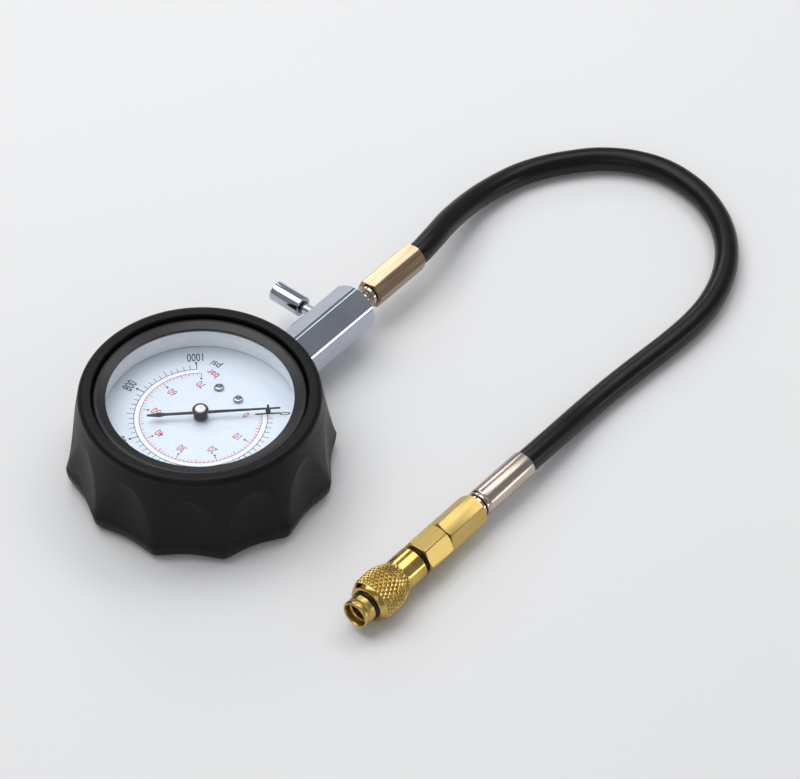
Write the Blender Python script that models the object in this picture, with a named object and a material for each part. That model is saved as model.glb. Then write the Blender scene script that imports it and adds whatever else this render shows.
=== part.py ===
"""Compression tester gauge: a rubber-booted pressure gauge, its hex valve body with a relief button,
a rubber hose and a brass quick coupler, as separate closed solids in metres with +Z up.

The gauge lies on its back with the dial up. The origin is the centre of the boot's flat back, 12 o'clock is
+Y and the stem leaves towards -Y. The coupler lies parallel to Y with its mouth towards +Y.
"""
import math

import bmesh
import bpy
from mathutils import Matrix, Vector

mm = 0.001
GAP = 0.3 * mm                      # left between two pieces that seat on each other
RUN = 0.1 * mm                      # running clearance of a shaft in its hole

# Rubber boot
BOOT_FLOOR = 3.0 * mm
BOOT_LIP_WALL = 5.6 * mm            # lip outside the bezel
BOOT_FLARE = 5.9 * mm               # base outside the lip
BOOT_TUCK = 3.3 * mm                # flat back inside the widest place
BOOT_BASE_Z = 7.0 * mm
BOOT_LIP_RISE = 1.6 * mm            # lip above the bezel's face
BOOT_LIP_ROUND = 2.6 * mm
SCALLOPS = 12
SCALLOP_TURN = math.radians(6.0)     # of the first scallop's middle, from +X towards +Y
SCALLOP_DEPTH = 3.2 * mm
SCALLOP_TOP_Z = 30.0 * mm
BOOT_SIDES = 60

# Case, window and dial
CASE_R = 39.6 * mm
CASE_WALL = 1.0 * mm
CASE_FLOOR = 1.2 * mm
DIAL_Z = 24.7 * mm                  # the dial's printed face
DIAL_THICK = 0.7 * mm
WINDOW_DEPTH = 8.3 * mm             # from the dial's face to the case rim
GASKET_THICK = 0.7 * mm
LENS_THICK = 2.0 * mm
BEZEL_THICK = 0.9 * mm
BEZEL_LIP = 1.4 * mm
BEZEL_SKIRT = 10.5 * mm
WINDOW_MARGIN = 3.9 * mm            # from the window's edge to the case's wall
RING_THICK = 0.9 * mm
DIAL_HOLE_R = 1.6 * mm
DIAL_SCREW_X = 4.8 * mm
DIAL_SCREW_Y = -16.0 * mm
DIAL_SCREW_R = 1.1 * mm

# Stem, socket and pressure tube
STEM_Z = 15.5 * mm
STEM_R = 6.85 * mm
STEM_LENGTH = 16.0 * mm             # inside the valve body
STEM_ROOT_R = 5.0 * mm
SOCKET_WIDTH = 14.0 * mm
SOCKET_THICK = 11.0 * mm
SOCKET_INSIDE = 4.5 * mm            # block inside the tube's circle
TONGUE_TOP_Z = 10.0 * mm
TONGUE_THICK = 2.8 * mm
TONGUE_END_Y = -5.0 * mm
CHANNEL_R = 1.5 * mm
TUBE_CLEAR = 9.6 * mm               # from the bent tube's middle to the case's wall
TUBE_DEEP = 6.0 * mm
TUBE_THICK = 3.0 * mm
TUBE_WALL = 0.6 * mm
TIP_LENGTH = 4.4 * mm
REAR_SCREW_X = 4.2 * mm
REAR_SCREW_OUT = 3.5 * mm           # outside the tube's circle
REAR_SCREW_R = 1.4 * mm
REAR_HEAD_R = 2.5 * mm
REAR_HEAD = 1.2 * mm
TUBE_START = math.radians(-94.0)
TUBE_END = math.radians(-375.0)

# Movement
MODULE = 0.3 * mm
PINION_TEETH = 12
SECTOR_TEETH = 120                  # of the full circle
SECTOR_CUT = (-11, 2)               # first and last tooth that is cut, counted from the centre line
MESH_ANGLE = math.radians(-60.0)    # direction from the pinion to the sector's arbor
MESH_SLACK = 0.08 * mm
PLATE_THICK = 1.2 * mm
PLATE_SPACE = 7.0 * mm              # between the two plates
SECTOR_THICK = 1.4 * mm
SECTOR_LIFT = 2.0 * mm              # above the lower plate
SECTOR_RIM = 2.2 * mm
SECTOR_ARM = 1.0 * mm               # half the arm's width
SECTOR_HUB_R = 2.4 * mm
TOOTH_SLACK = 0.03 * mm
TAIL_LENGTH = 9.0 * mm
TAIL_EYE_R = 1.7 * mm
LINK_THICK = 0.8 * mm
LINK_EYE_R = 1.7 * mm
TIP_PIN_IN = 4.8 * mm               # link's pin inside the tube's circle
TIP_PIN_ANGLE = math.radians(-21.0)
PIVOT_R = 0.65 * mm
PIN_HEAD_R = 1.2 * mm
PIN_HEAD = 0.5 * mm
SHOULDER = 0.3 * mm                 # end shake of an arbor's shoulders under its plates
ARBOR_R = 0.8 * mm
JOURNAL_R = 0.6 * mm
PILLAR_R = 1.3 * mm
TENON_R = 0.8 * mm
POST_R = 2.4 * mm
SPARE_PILLAR = (15.4 * mm, -11.5 * mm)
MOVEMENT_SCREW_R = 1.0 * mm
MOVEMENT_SCREWS = [(0.0, -20.8 * mm), (0.0, -8.6 * mm)]
HAIRSPRING_TURNS = 3.5
HAIRSPRING_INNER = 1.7 * mm
HAIRSPRING_OUTER = 5.6 * mm
HAIRSPRING_STRIP = 0.22 * mm
HAIRSPRING_DEEP = 0.9 * mm
STUD_R = 0.7 * mm

# Pointer
POINTER_LIFT = 2.6 * mm             # above the dial
POINTER_THICK = 0.5 * mm
POINTER_HALF = 0.6 * mm             # half its width at the hub
POINTER_BORE_R = 0.75 * mm
POINTER_SHORT = 5.4 * mm            # pointer's tip inside the window
POINTER_TAIL = 20.4 * mm
HUB_R = 3.1 * mm
HUB_RISE = 1.9 * mm
ZERO_ANGLE = math.radians(-135.0)   # half past seven
STOP_PIN_R = 0.45 * mm
STOP_PIN_BACK = 4.6 * mm            # inside the pointer's tip

# Valve body and relief valve
BODY_ACROSS = 18.6 * mm
BODY_STANDOFF = 3.8 * mm            # from the case's wall to the hex body
BODY_LENGTH = 48.0 * mm
BODY_BORE_R = 2.3 * mm
RELIEF_PLACE = 14.4 * mm            # from the hex body's far end
RELIEF_HOLE_R = 3.3 * mm
RELIEF_NECK_R = 1.9 * mm
RELIEF_STANDOFF = 6.0 * mm          # from the hex face to the button
BUTTON_R = 4.1 * mm
BUTTON_LENGTH = 14.0 * mm
BUTTON_BORE_R = 3.2 * mm
BUTTON_END = 2.5 * mm
RELIEF_PIN_R = 0.9 * mm
RELIEF_HEAD_R = 2.0 * mm
RELIEF_SEAL_R = 0.5 * mm
RELIEF_SPRING_ROOM = 7.2 * mm
BUSH_DEPTH = 3.7 * mm
WASHER_THICK = 0.8 * mm

# Hose and its fittings
HOSE_R = 4.8 * mm
HOSE_FIT = 0.15 * mm                # round the hose in a ferrule's mouth
HOSE_INSERT = 2.6 * mm
HOSE_LEAD = 6.0 * mm               # straight run out of each ferrule
HOSE_STEP = 7.5 * mm
NIPPLE_R = 2.6 * mm
NIPPLE_BORE_R = 1.2 * mm
NIPPLE_NECK_R = 2.6 * mm
NIPPLE_THREAD_R = 4.0 * mm
NIPPLE_THREAD = 6.6 * mm
FERRULE_LENGTH = 28.0 * mm
FERRULE_A_ACROSS = 10.8 * mm
FERRULE_A_TURN = math.radians(20.0)
FERRULE_B_R = 5.6 * mm
COLLAR_A_R = 4.5 * mm
COLLAR_B_R = 4.7 * mm
COLLAR = 1.5 * mm
NECK_LENGTH = 7.6 * mm              # between the valve body and ferrule A
COUPLER_X = -99.5 * mm
COUPLER_Z = 9.3 * mm
FERRULE_B_Y = -45.0 * mm            # end nearest the coupler
HOSE_ROUTE = [
    (2.6, -141.0, 15.0), (5.8, -156.0, 11.8), (7.6, -175.0, 7.6), (5.6, -193.5, 5.4), (0.8, -206.3, 5.0),
    (-6.6, -217.6, 5.0), (-15.2, -227.2, 5.0), (-26.4, -234.6, 5.0), (-40.0, -238.6, 5.0),
    (-55.2, -237.6, 5.0), (-67.4, -233.2, 5.0), (-78.2, -226.2, 5.0), (-87.2, -216.6, 5.0),
    (-94.0, -205.0, 5.0), (-98.4, -191.6, 5.0), (-100.2, -177.6, 5.0), (-100.0, -162.0, 5.0),
    (-98.8, -145.0, 5.0), (-97.8, -127.0, 5.1), (-97.8, -110.0, 5.8), (-98.8, -94.0, 7.8),
]

# Brass coupler
ADAPTER_ACROSS = 12.2 * mm
ADAPTER_LENGTH = 20.2 * mm
ADAPTER_SPACE = 0.6 * mm
ADAPTER_TURN = math.radians(16.0)   # a flat's normal, from +Z towards -X
ADAPTER_THREAD_R = 3.6 * mm
ADAPTER_THREAD = 7.6 * mm
COUPLER_THREAD_R = 4.6 * mm
COUPLER_THREAD = 5.6 * mm
CHECK_R = 2.7 * mm
CHECK_DEPTH = 9.0 * mm              # length of the check valve's chamber
CHECK_LIP = 0.8 * mm                # seat inside the chamber's wall
CHECK_FORWARD = 2.6 * mm            # of the chamber's end beyond the hex
SEAT_WALL = 0.9 * mm                # between the chamber and the socket bore
COUPLER_ROOT = 12.0 * mm            # of the round tube inside the hex
RING_GROOVE_R = 5.1 * mm
RING_GROOVE = 1.5 * mm
COUPLER_ACROSS = 13.4 * mm
COUPLER_HEX_LENGTH = 13.2 * mm
COUPLER_TURN = math.radians(-1.5)   # a flat's normal, from +Z towards -X
COUPLER_REAR_R = 5.2 * mm
COUPLER_FRONT_R = 5.7 * mm
COUPLER_BORE_R = 4.1 * mm
COUPLER_TUBE_LENGTH = 35.9 * mm     # from the hex to the mouth
SLEEVE_SPACE = 2.0 * mm             # from the hex to the sleeve
SLEEVE_LENGTH = 26.9 * mm
SLEEVE_R = 7.0 * mm
SLEEVE_BORE_R = 6.5 * mm
KNURL_R = 9.1 * mm
SPRING_END = 16.6 * mm              # from the hex to the spring's front end
BALL_R = 1.25 * mm
BALLS = 3
BALL_PLACE = 22.6 * mm              # from the hex

# Heights that follow from the sizes above
CASE_BACK_Z = BOOT_FLOOR + GAP
CASE_IN_Z = CASE_BACK_Z + CASE_FLOOR
CASE_IN_R = CASE_R - CASE_WALL
RIM_Z = DIAL_Z + WINDOW_DEPTH
LENS_Z = RIM_Z + GAP + GASKET_THICK + GAP
BEZEL_UNDER_Z = LENS_Z + LENS_THICK + GAP
BEZEL_TOP_Z = BEZEL_UNDER_Z + BEZEL_LIP
BEZEL_IN_R = CASE_R + GAP
BEZEL_R = BEZEL_IN_R + BEZEL_THICK
WINDOW_R = CASE_R - WINDOW_MARGIN
BOOT_LIP_R = BEZEL_R + BOOT_LIP_WALL
BOOT_BASE_R = BOOT_LIP_R + BOOT_FLARE   # widest, near the base
BOOT_FOOT_R = BOOT_BASE_R - BOOT_TUCK   # edge of the flat back
TUBE_R = CASE_R - TUBE_CLEAR        # radius that the tube is bent to
TIP_PIN_R = TUBE_R - TIP_PIN_IN
SOCKET_INNER_Y = -(TUBE_R - SOCKET_INSIDE)
REAR_SCREW_Y = -(TUBE_R + REAR_SCREW_OUT)
POINTER_REACH = WINDOW_R - POINTER_SHORT
STOP_PIN_REACH = POINTER_REACH - STOP_PIN_BACK
BODY_START_Y = -(CASE_R + BODY_STANDOFF)
BODY_END_Y = BODY_START_Y - BODY_LENGTH
RELIEF_Y = BODY_END_Y + RELIEF_PLACE
BOOT_TOP_Z = BEZEL_TOP_Z + BOOT_LIP_RISE
SKIRT_END_Z = BEZEL_TOP_Z - BEZEL_SKIRT
LOWER_PLATE_Z = TONGUE_TOP_Z + GAP
UPPER_PLATE_Z = LOWER_PLATE_Z + PLATE_THICK + PLATE_SPACE
SECTOR_Z = LOWER_PLATE_Z + PLATE_THICK + SECTOR_LIFT
LINK_Z = SECTOR_Z + SECTOR_THICK + GAP
POINTER_Z = DIAL_Z + POINTER_LIFT
MESH_DISTANCE = MODULE * (PINION_TEETH + SECTOR_TEETH) / 2 + MESH_SLACK
SECTOR_X = MESH_DISTANCE * math.cos(MESH_ANGLE)
SECTOR_Y = MESH_DISTANCE * math.sin(MESH_ANGLE)
TAIL_X = SECTOR_X + TAIL_LENGTH * math.cos(MESH_ANGLE)
TAIL_Y = SECTOR_Y + TAIL_LENGTH * math.sin(MESH_ANGLE)
TIP_X = TIP_PIN_R * math.cos(TIP_PIN_ANGLE)
TIP_Y = TIP_PIN_R * math.sin(TIP_PIN_ANGLE)
HAIRSPRING_STUD_X = HAIRSPRING_OUTER + HAIRSPRING_STRIP / 2 + RUN + STUD_R
SOCKET_END_Y = -(CASE_IN_R ** 2 - (SOCKET_WIDTH / 2) ** 2) ** 0.5 + GAP
STEM_END_Y = BODY_START_Y - STEM_LENGTH
FERRULE_A_Y = BODY_END_Y - NECK_LENGTH
ADAPTER_Y = FERRULE_B_Y + 2 * GAP + COLLAR
COUPLER_Y = ADAPTER_Y + ADAPTER_LENGTH + ADAPTER_SPACE
COUPLER_FACE_Y = COUPLER_Y + COUPLER_HEX_LENGTH
MOUTH_Y = COUPLER_FACE_Y + COUPLER_TUBE_LENGTH
SLEEVE_Y = COUPLER_FACE_Y + SLEEVE_SPACE
BUTTON_X = BODY_ACROSS / 2 + RELIEF_STANDOFF

AXES = {
    "+Z": Matrix.Identity(4),
    "-Z": Matrix.Rotation(math.pi, 4, "X"),
    "+Y": Matrix.Rotation(-math.pi / 2, 4, "X"),
    "-Y": Matrix.Rotation(math.pi / 2, 4, "X"),
    "+X": Matrix.Rotation(math.pi / 2, 4, "Y"),
}


def finish_material(name, colour, roughness, metallic=0.0, alpha=1.0):
    """One Principled BSDF with a colour, a roughness and a metallic value."""
    material = bpy.data.materials.new(name)
    material.use_nodes = True
    shader = material.node_tree.nodes["Principled BSDF"]
    shader.inputs["Base Color"].default_value = (*colour, 1.0)
    shader.inputs["Roughness"].default_value = roughness
    shader.inputs["Metallic"].default_value = metallic
    shader.inputs["Alpha"].default_value = alpha
    return material


def sides_for(radius):
    """Number of facets round a piece of this radius."""
    for limit, sides in ((1.0, 8), (2.6, 12), (5.0, 16), (8.0, 20), (12.0, 28)):
        if radius < limit * mm:
            return sides
    return 44


def place(name, mesh, material, at=(0.0, 0.0, 0.0), axis="+Z", turn=0.0):
    """Links a mesh as a named object, its local Z along the given axis."""
    obj = bpy.data.objects.new(name, mesh)
    bpy.context.scene.collection.objects.link(obj)
    obj.data.materials.append(material)
    spin = Matrix.Rotation(turn, 4, "Z")
    obj.matrix_world = Matrix.Translation(Vector(at)) @ AXES[axis] @ spin
    return obj


def to_mesh(name, bm, angle=35.0):
    """Turns a bmesh into a closed, outward-facing mesh with smooth round faces."""
    bmesh.ops.recalc_face_normals(bm, faces=bm.faces)
    mesh = bpy.data.meshes.new(name)
    bm.to_mesh(mesh)
    bm.free()
    mesh.shade_smooth()
    mesh.set_sharp_from_angle(angle=math.radians(angle))
    return mesh


def spun(profile, sides, ring):
    """A profile of (radius, height) points spun round Z; a ring's profile closes on itself."""
    bm = bmesh.new()
    verts = [bm.verts.new((radius, 0.0, height)) for radius, height in profile]
    pairs = list(zip(verts, verts[1:]))
    if ring:
        pairs.append((verts[-1], verts[0]))
    edges = [bm.edges.new(pair) for pair in pairs]
    bmesh.ops.spin(bm, geom=verts + edges, cent=(0, 0, 0), axis=(0, 0, 1), angle=math.tau,
                   steps=sides, use_merge=True)
    bmesh.ops.remove_doubles(bm, verts=bm.verts, dist=1e-6)
    return bm


def turned(name, profile, material, at=(0.0, 0.0, 0.0), axis="+Z", sides=None, ring=False, turn=0.0):
    """A turned piece from its half profile."""
    sides = sides or sides_for(max(radius for radius, _ in profile))
    return place(name, to_mesh(name, spun(profile, sides, ring)), material, at, axis, turn)


def circle(x, y, radius, sides=None, start=0.0):
    """Points of a circle, for plate outlines and holes."""
    sides = sides or sides_for(radius)
    angles = [start + math.tau * k / sides for k in range(sides)]
    return [(x + radius * math.cos(a), y + radius * math.sin(a)) for a in angles]


def hull(points):
    """Convex outline round a set of points, counter-clockwise."""
    points = sorted(set(points))

    def half(run):
        chain = []
        for point in run:
            while len(chain) > 1 and cross(chain[-2], chain[-1], point) <= 0:
                chain.pop()
            chain.append(point)
        return chain[:-1]

    def cross(a, b, c):
        return (b[0] - a[0]) * (c[1] - a[1]) - (b[1] - a[1]) * (c[0] - a[0])

    return half(points) + half(points[::-1])


def prism(outline, holes, low, high):
    """An outline with round or shaped holes, extruded between two heights."""
    bm = bmesh.new()
    for loop in [outline] + holes:
        verts = [bm.verts.new((x, y, low)) for x, y in loop]
        for a, b in zip(verts, verts[1:] + verts[:1]):
            bm.edges.new((a, b))
    filled = bmesh.ops.triangle_fill(bm, edges=bm.edges, use_beauty=True, normal=(0, 0, 1))
    faces = [item for item in filled["geom"] if isinstance(item, bmesh.types.BMFace)]
    raised = bmesh.ops.extrude_face_region(bm, geom=faces)
    moved = [item for item in raised["geom"] if isinstance(item, bmesh.types.BMVert)]
    bmesh.ops.translate(bm, verts=moved, vec=(0, 0, high - low))
    return bm


def plate(name, outline, holes, low, high, material, at=(0.0, 0.0, 0.0), axis="+Z"):
    """A flat piece cut from sheet or bar."""
    return place(name, to_mesh(name, prism(outline, holes, low, high), 30.0), material, at, axis)


def cutter(mesh, at=(0.0, 0.0, 0.0), axis="+Z"):
    """A solid that only cuts others: shown as wire and left out of renders."""
    obj = bpy.data.objects.new("cutter", mesh)
    bpy.context.scene.collection.objects.link(obj)
    obj.matrix_world = Matrix.Translation(Vector(at)) @ AXES[axis]
    obj.hide_render = True
    obj.display_type = "WIRE"
    return obj


def cut(obj, tool):
    """Cuts a tool out of a piece and keeps the tool beside it in the scene."""
    modifier = obj.modifiers.new("cut", "BOOLEAN")
    modifier.operation = "DIFFERENCE"
    modifier.solver = "EXACT"
    modifier.object = tool
    return obj


def drill(obj, radius, start, end, at, axis="+Z", sides=None):
    """A round hole between two distances along an axis through a point."""
    profile = [(0.0, start), (radius, start), (radius, end), (0.0, end)]
    mesh = to_mesh("drill", spun(profile, sides or sides_for(radius), False))
    return cut(obj, cutter(mesh, at, axis))


def block(low, high):
    """A box mesh between two corners."""
    bm = bmesh.new()
    bmesh.ops.create_cube(bm, size=1.0)
    for vert in bm.verts:
        for i in range(3):
            vert.co[i] = low[i] if vert.co[i] < 0 else high[i]
    return bm


def hexagon(across, start=0.0):
    """Corners of a hexagon by its size across flats; start is the direction of a flat."""
    radius = across / 2 / math.cos(math.pi / 6)
    return circle(0.0, 0.0, radius, 6, start + math.pi / 6)


def wire(name, points, radius, material, closed=False, resolution=1):
    """A round wire or hose along a list of points."""
    curve = bpy.data.curves.new(name, "CURVE")
    curve.dimensions = "3D"
    curve.bevel_depth = radius
    curve.bevel_resolution = resolution
    curve.use_fill_caps = not closed
    spline = curve.splines.new("POLY")
    spline.points.add(len(points) - 1)
    for point, co in zip(spline.points, points):
        point.co = (*co, 1.0)
    spline.use_cyclic_u = closed
    spline.use_smooth = True
    obj = bpy.data.objects.new(name, curve)
    bpy.context.scene.collection.objects.link(obj)
    curve.materials.append(material)
    return obj


def coil(radius, start, end, turns, per_turn=10):
    """Points of a helical spring along Z with closed end turns."""
    total = int(turns * per_turn)
    points = []
    for k in range(total + 1):
        turn = k / per_turn
        share = min(max((turn - 0.75) / (turns - 1.5), 0.0), 1.0)
        flat = 0.0 if turn < 0.75 else share
        angle = math.tau * turn
        points.append((radius * math.cos(angle), radius * math.sin(angle), start + (end - start) * flat))
    return points


def aimed(points, at, axis):
    """Moves points made along Z to an axis through a place."""
    matrix = Matrix.Translation(Vector(at)) @ AXES[axis]
    return [tuple(matrix @ Vector(point)) for point in points]


def smooth_route(points, spacing):
    """Evenly spaced points on a Catmull-Rom curve through the route."""
    padded = [points[0]] + points + [points[-1]]
    fine = []
    for a, b, c, d in zip(padded, padded[1:], padded[2:], padded[3:]):
        for k in range(24):
            t = k / 24
            fine.append(0.5 * ((2 * b) + (c - a) * t + (2 * a - 5 * b + 4 * c - d) * t * t
                               + (3 * b - a - 3 * c + d) * t ** 3))
    fine.append(points[-1])
    length = sum((b - a).length for a, b in zip(fine, fine[1:]))
    count = round(length / spacing)
    step = length / count
    even = [fine[0]]
    walked = 0.0
    for a, b in zip(fine, fine[1:]):
        part = (b - a).length
        while walked + part >= step * len(even) and len(even) < count:
            even.append(a.lerp(b, (step * len(even) - walked) / part))
        walked += part
    return even + [fine[-1]]


def scalloped(radius, angle, height):
    """Radius of the boot's wall with its finger scallops cut in."""
    rise = min(max(height / SCALLOP_TOP_Z, 0.0), 1.0)
    width = 0.5 * (1.0 - rise ** 2.4) ** 0.5
    phase = ((angle - SCALLOP_TURN) * SCALLOPS / math.tau + 0.5) % 1.0 - 0.5
    if width <= 0.0 or abs(phase) >= width:
        return radius
    return radius - SCALLOP_DEPTH * (1.0 - rise) ** 0.6 * (1.0 - (phase / width) ** 2)


def rubber_boot(rubber):
    """Cup with a rounded lip, a flared scalloped wall and the hole that the valve body passes through."""
    wall_top_z = BOOT_TOP_Z - BOOT_LIP_ROUND
    inner_r = BEZEL_R + GAP
    steps = 5
    side = []
    for k in range(steps + 1):
        share = k / steps
        height = BOOT_BASE_Z + (wall_top_z - BOOT_BASE_Z) * share
        side.append((BOOT_BASE_R + (BOOT_LIP_R - BOOT_BASE_R) * share ** 0.8, height))
    lip = []
    for k in range(1, 4):
        angle = math.pi / 2 * k / 3
        lip.append((BOOT_LIP_R - BOOT_LIP_ROUND * (1 - math.cos(angle)),
                    wall_top_z + BOOT_LIP_ROUND * math.sin(angle)))
    profile = [(0.0, 0.0), (BOOT_FOOT_R, 0.0), (BOOT_FOOT_R + 1.6 * mm, 0.8 * mm)]
    profile += side + lip
    profile += [(inner_r + 0.7 * mm, BOOT_TOP_Z), (inner_r, BOOT_TOP_Z - 0.7 * mm)]
    profile += [(inner_r, SKIRT_END_Z - GAP), (CASE_R + GAP, SKIRT_END_Z - GAP)]
    profile += [(CASE_R + GAP, BOOT_FLOOR), (0.0, BOOT_FLOOR)]
    bm = spun(profile, BOOT_SIDES, False)
    for vert in bm.verts:
        radius = math.hypot(vert.co.x, vert.co.y)
        if radius < BEZEL_R + 2 * mm:
            continue
        angle = math.atan2(vert.co.y, vert.co.x)
        scale = scalloped(radius, angle, vert.co.z) / radius
        vert.co.x *= scale
        vert.co.y *= scale
    boot = place("rubber_boot", to_mesh("rubber_boot", bm, 40.0), rubber)
    hole_r = BODY_ACROSS / 2 / math.cos(math.pi / 6) + GAP
    drill(boot, hole_r, CASE_R - 3 * mm, BOOT_BASE_R + 4 * mm, (0, 0, STEM_Z), "-Y", 28)
    pocket = BOOT_FLOOR - REAR_HEAD - GAP
    for x in (-REAR_SCREW_X, REAR_SCREW_X):
        drill(boot, REAR_HEAD_R + GAP, pocket, BOOT_FLOOR + 1 * mm, (x, REAR_SCREW_Y, 0))


def gauge_shell(steel, bezel_black, glass, rubber, white):
    """Case, bezel, lens with its gasket, and the pale ring round the dial."""
    case = turned("gauge_case", [
        (0.0, CASE_BACK_Z), (CASE_R - 1.0 * mm, CASE_BACK_Z), (CASE_R, CASE_BACK_Z + 1.0 * mm), (CASE_R, RIM_Z),
        (CASE_IN_R, RIM_Z), (CASE_IN_R, CASE_IN_Z), (0.0, CASE_IN_Z)], steel)
    drill(case, STEM_R + GAP, CASE_IN_R - 4 * mm, CASE_R + 4 * mm, (0, 0, STEM_Z), "-Y")
    for x in (-REAR_SCREW_X, REAR_SCREW_X):
        drill(case, REAR_SCREW_R + GAP, CASE_BACK_Z - 1 * mm, CASE_IN_Z + 1 * mm, (x, REAR_SCREW_Y, 0))
    turned("bezel_ring", [
        (BEZEL_IN_R, SKIRT_END_Z), (BEZEL_R, SKIRT_END_Z), (BEZEL_R, BEZEL_TOP_Z - 0.8 * mm),
        (BEZEL_R - 0.8 * mm, BEZEL_TOP_Z), (WINDOW_R + 2.2 * mm, BEZEL_TOP_Z),
        (WINDOW_R, BEZEL_TOP_Z - 1.0 * mm), (WINDOW_R, BEZEL_UNDER_Z), (BEZEL_IN_R, BEZEL_UNDER_Z)],
        bezel_black, ring=True)
    turned("lens", [(0.0, LENS_Z), (CASE_R, LENS_Z), (CASE_R, LENS_Z + LENS_THICK), (0.0, LENS_Z + LENS_THICK)],
           glass)
    gasket_z = RIM_Z + GAP
    turned("lens_gasket", [(CASE_IN_R - 1.0 * mm, gasket_z), (CASE_R - 0.2 * mm, gasket_z),
                           (CASE_R - 0.2 * mm, gasket_z + GASKET_THICK),
                           (CASE_IN_R - 1.0 * mm, gasket_z + GASKET_THICK)], rubber, ring=True)
    ring_out = CASE_IN_R - GAP
    turned("inner_ring", [(ring_out - RING_THICK, DIAL_Z + GAP), (ring_out, DIAL_Z + GAP),
                          (ring_out, RIM_Z), (ring_out - RING_THICK, RIM_Z)], white, ring=True)


def slotted_screw(name, head_r, head_high, shank_r, reach, material, at, axis="+Z", slot=True):
    """Pan head seated at height 0 with its shank below; the slot is a milled groove."""
    screw = turned(name, [
        (0.0, -reach), (shank_r, -reach), (shank_r, 0.0), (head_r, 0.0), (head_r, head_high * 0.6),
        (head_r * 0.8, head_high), (0.0, head_high)], material, at, axis, 12)
    if slot:
        half = head_r * 0.16
        mesh = to_mesh("slot", block((-head_r * 1.2, -half, head_high * 0.5), (head_r * 1.2, half, head_high * 2)))
        cut(screw, cutter(mesh, at, axis))
    return screw


def dial_and_pointer(white, nickel, black, steel):
    """Dial, its two screws, the stop pin, the pointer and its hub."""
    screws = ((-DIAL_SCREW_X, DIAL_SCREW_Y), (DIAL_SCREW_X, DIAL_SCREW_Y))
    pin_side = POINTER_HALF + RUN + STOP_PIN_R
    along = Vector((math.cos(ZERO_ANGLE), math.sin(ZERO_ANGLE)))
    aside = Vector((-along.y, along.x))
    pin = along * STOP_PIN_REACH + aside * pin_side
    holes = [circle(0, 0, DIAL_HOLE_R), circle(pin.x, pin.y, STOP_PIN_R + GAP)]
    holes += [circle(x, y, DIAL_SCREW_R + GAP) for x, y in screws]
    plate("dial_plate", circle(0, 0, CASE_IN_R - GAP), holes, DIAL_Z - DIAL_THICK, DIAL_Z, white)
    for name, (x, y) in zip(("dial_screw_left", "dial_screw_right"), screws):
        slotted_screw(name, 1.95 * mm, 0.9 * mm, DIAL_SCREW_R, 3.4 * mm, nickel, (x, y, DIAL_Z + GAP))
    turned("stop_pin", [(0.0, -DIAL_THICK), (STOP_PIN_R, -DIAL_THICK), (STOP_PIN_R, POINTER_LIFT + 0.9 * mm),
                        (0.0, POINTER_LIFT + 0.9 * mm)], steel, (pin.x, pin.y, DIAL_Z))
    tip, tail = POINTER_REACH, POINTER_TAIL
    blade = [(tip, 0.22 * mm), (2.0 * mm, POINTER_HALF), (-0.5 * mm, POINTER_HALF + 1.0 * mm)]
    blade += [(-2.0 * mm, 0.5 * mm), (-tail * 0.66, 0.5 * mm), (-tail * 0.76, 1.05 * mm), (-tail, 0.25 * mm)]
    outline = blade + [(x, -y) for x, y in blade[::-1]]
    pointer = plate("pointer", outline, [circle(0, 0, POINTER_BORE_R)], 0, POINTER_THICK, black)
    pointer.matrix_world = Matrix.Translation((0, 0, POINTER_Z)) @ Matrix.Rotation(ZERO_ANGLE, 4, "Z")
    seat = POINTER_Z + POINTER_THICK + GAP
    turned("pointer_hub", [(0.0, seat), (HUB_R, seat), (HUB_R, seat + HUB_RISE * 0.35),
                           (HUB_R * 0.9, seat + HUB_RISE * 0.7), (HUB_R * 0.6, seat + HUB_RISE * 0.93),
                           (0.0, seat + HUB_RISE)], nickel, sides=24)


def tooth_points(radius, teeth, outer, root, index, thin):
    """Left and right flank of one involute tooth, centred on index pitches, from root to tip and back."""
    pressure = math.radians(20.0)
    base = radius * math.cos(pressure)
    half = math.pi / 2 / teeth - thin / radius
    involute = math.tan(pressure) - pressure
    centre = math.tau * index / teeth
    flank = []
    for k in range(3):
        at_r = max(base, root) + (outer - max(base, root)) * k / 2
        slope = math.acos(min(base / at_r, 1.0))
        flank.append((at_r, half + involute - (math.tan(slope) - slope)))
    if root < base:
        flank.insert(0, (root, flank[0][1]))
    rise = [(r, centre - a) for r, a in flank]
    fall = [(r, centre + a) for r, a in flank[::-1]]
    return [(r * math.cos(a), r * math.sin(a)) for r, a in rise + fall]


def pinion_and_shaft(steel):
    """Pointer shaft with the pinion cut on it."""
    pitch_r = MODULE * PINION_TEETH / 2
    outline = []
    for k in range(PINION_TEETH):
        outline += tooth_points(pitch_r, PINION_TEETH, pitch_r + 0.95 * MODULE, pitch_r - 1.2 * MODULE, k + 0.5,
                                TOOTH_SLACK)
    low = SECTOR_Z - 0.6 * mm
    high = SECTOR_Z + SECTOR_THICK + 0.6 * mm
    gear = place("pinion", to_mesh("pinion", prism(outline, [circle(0, 0, ARBOR_R + RUN)], low, high), 30.0), steel)
    gear.matrix_world = Matrix.Rotation(MESH_ANGLE, 4, "Z")
    under = LOWER_PLATE_Z + PLATE_THICK + SHOULDER
    over = UPPER_PLATE_Z - SHOULDER
    turned("pointer_shaft", [
        (0.0, LOWER_PLATE_Z - 0.2 * mm), (JOURNAL_R, LOWER_PLATE_Z - 0.2 * mm), (JOURNAL_R, under),
        (ARBOR_R, under), (ARBOR_R, over), (JOURNAL_R, over), (JOURNAL_R, POINTER_Z + POINTER_THICK + 0.1 * mm),
        (0.0, POINTER_Z + POINTER_THICK + 0.1 * mm)], steel, sides=10)


def arc(x, y, radius, first, last, steps):
    """Points of an arc, both ends included."""
    angles = [first + (last - first) * k / steps for k in range(steps + 1)]
    return [(x + radius * math.cos(a), y + radius * math.sin(a)) for a in angles]


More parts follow.
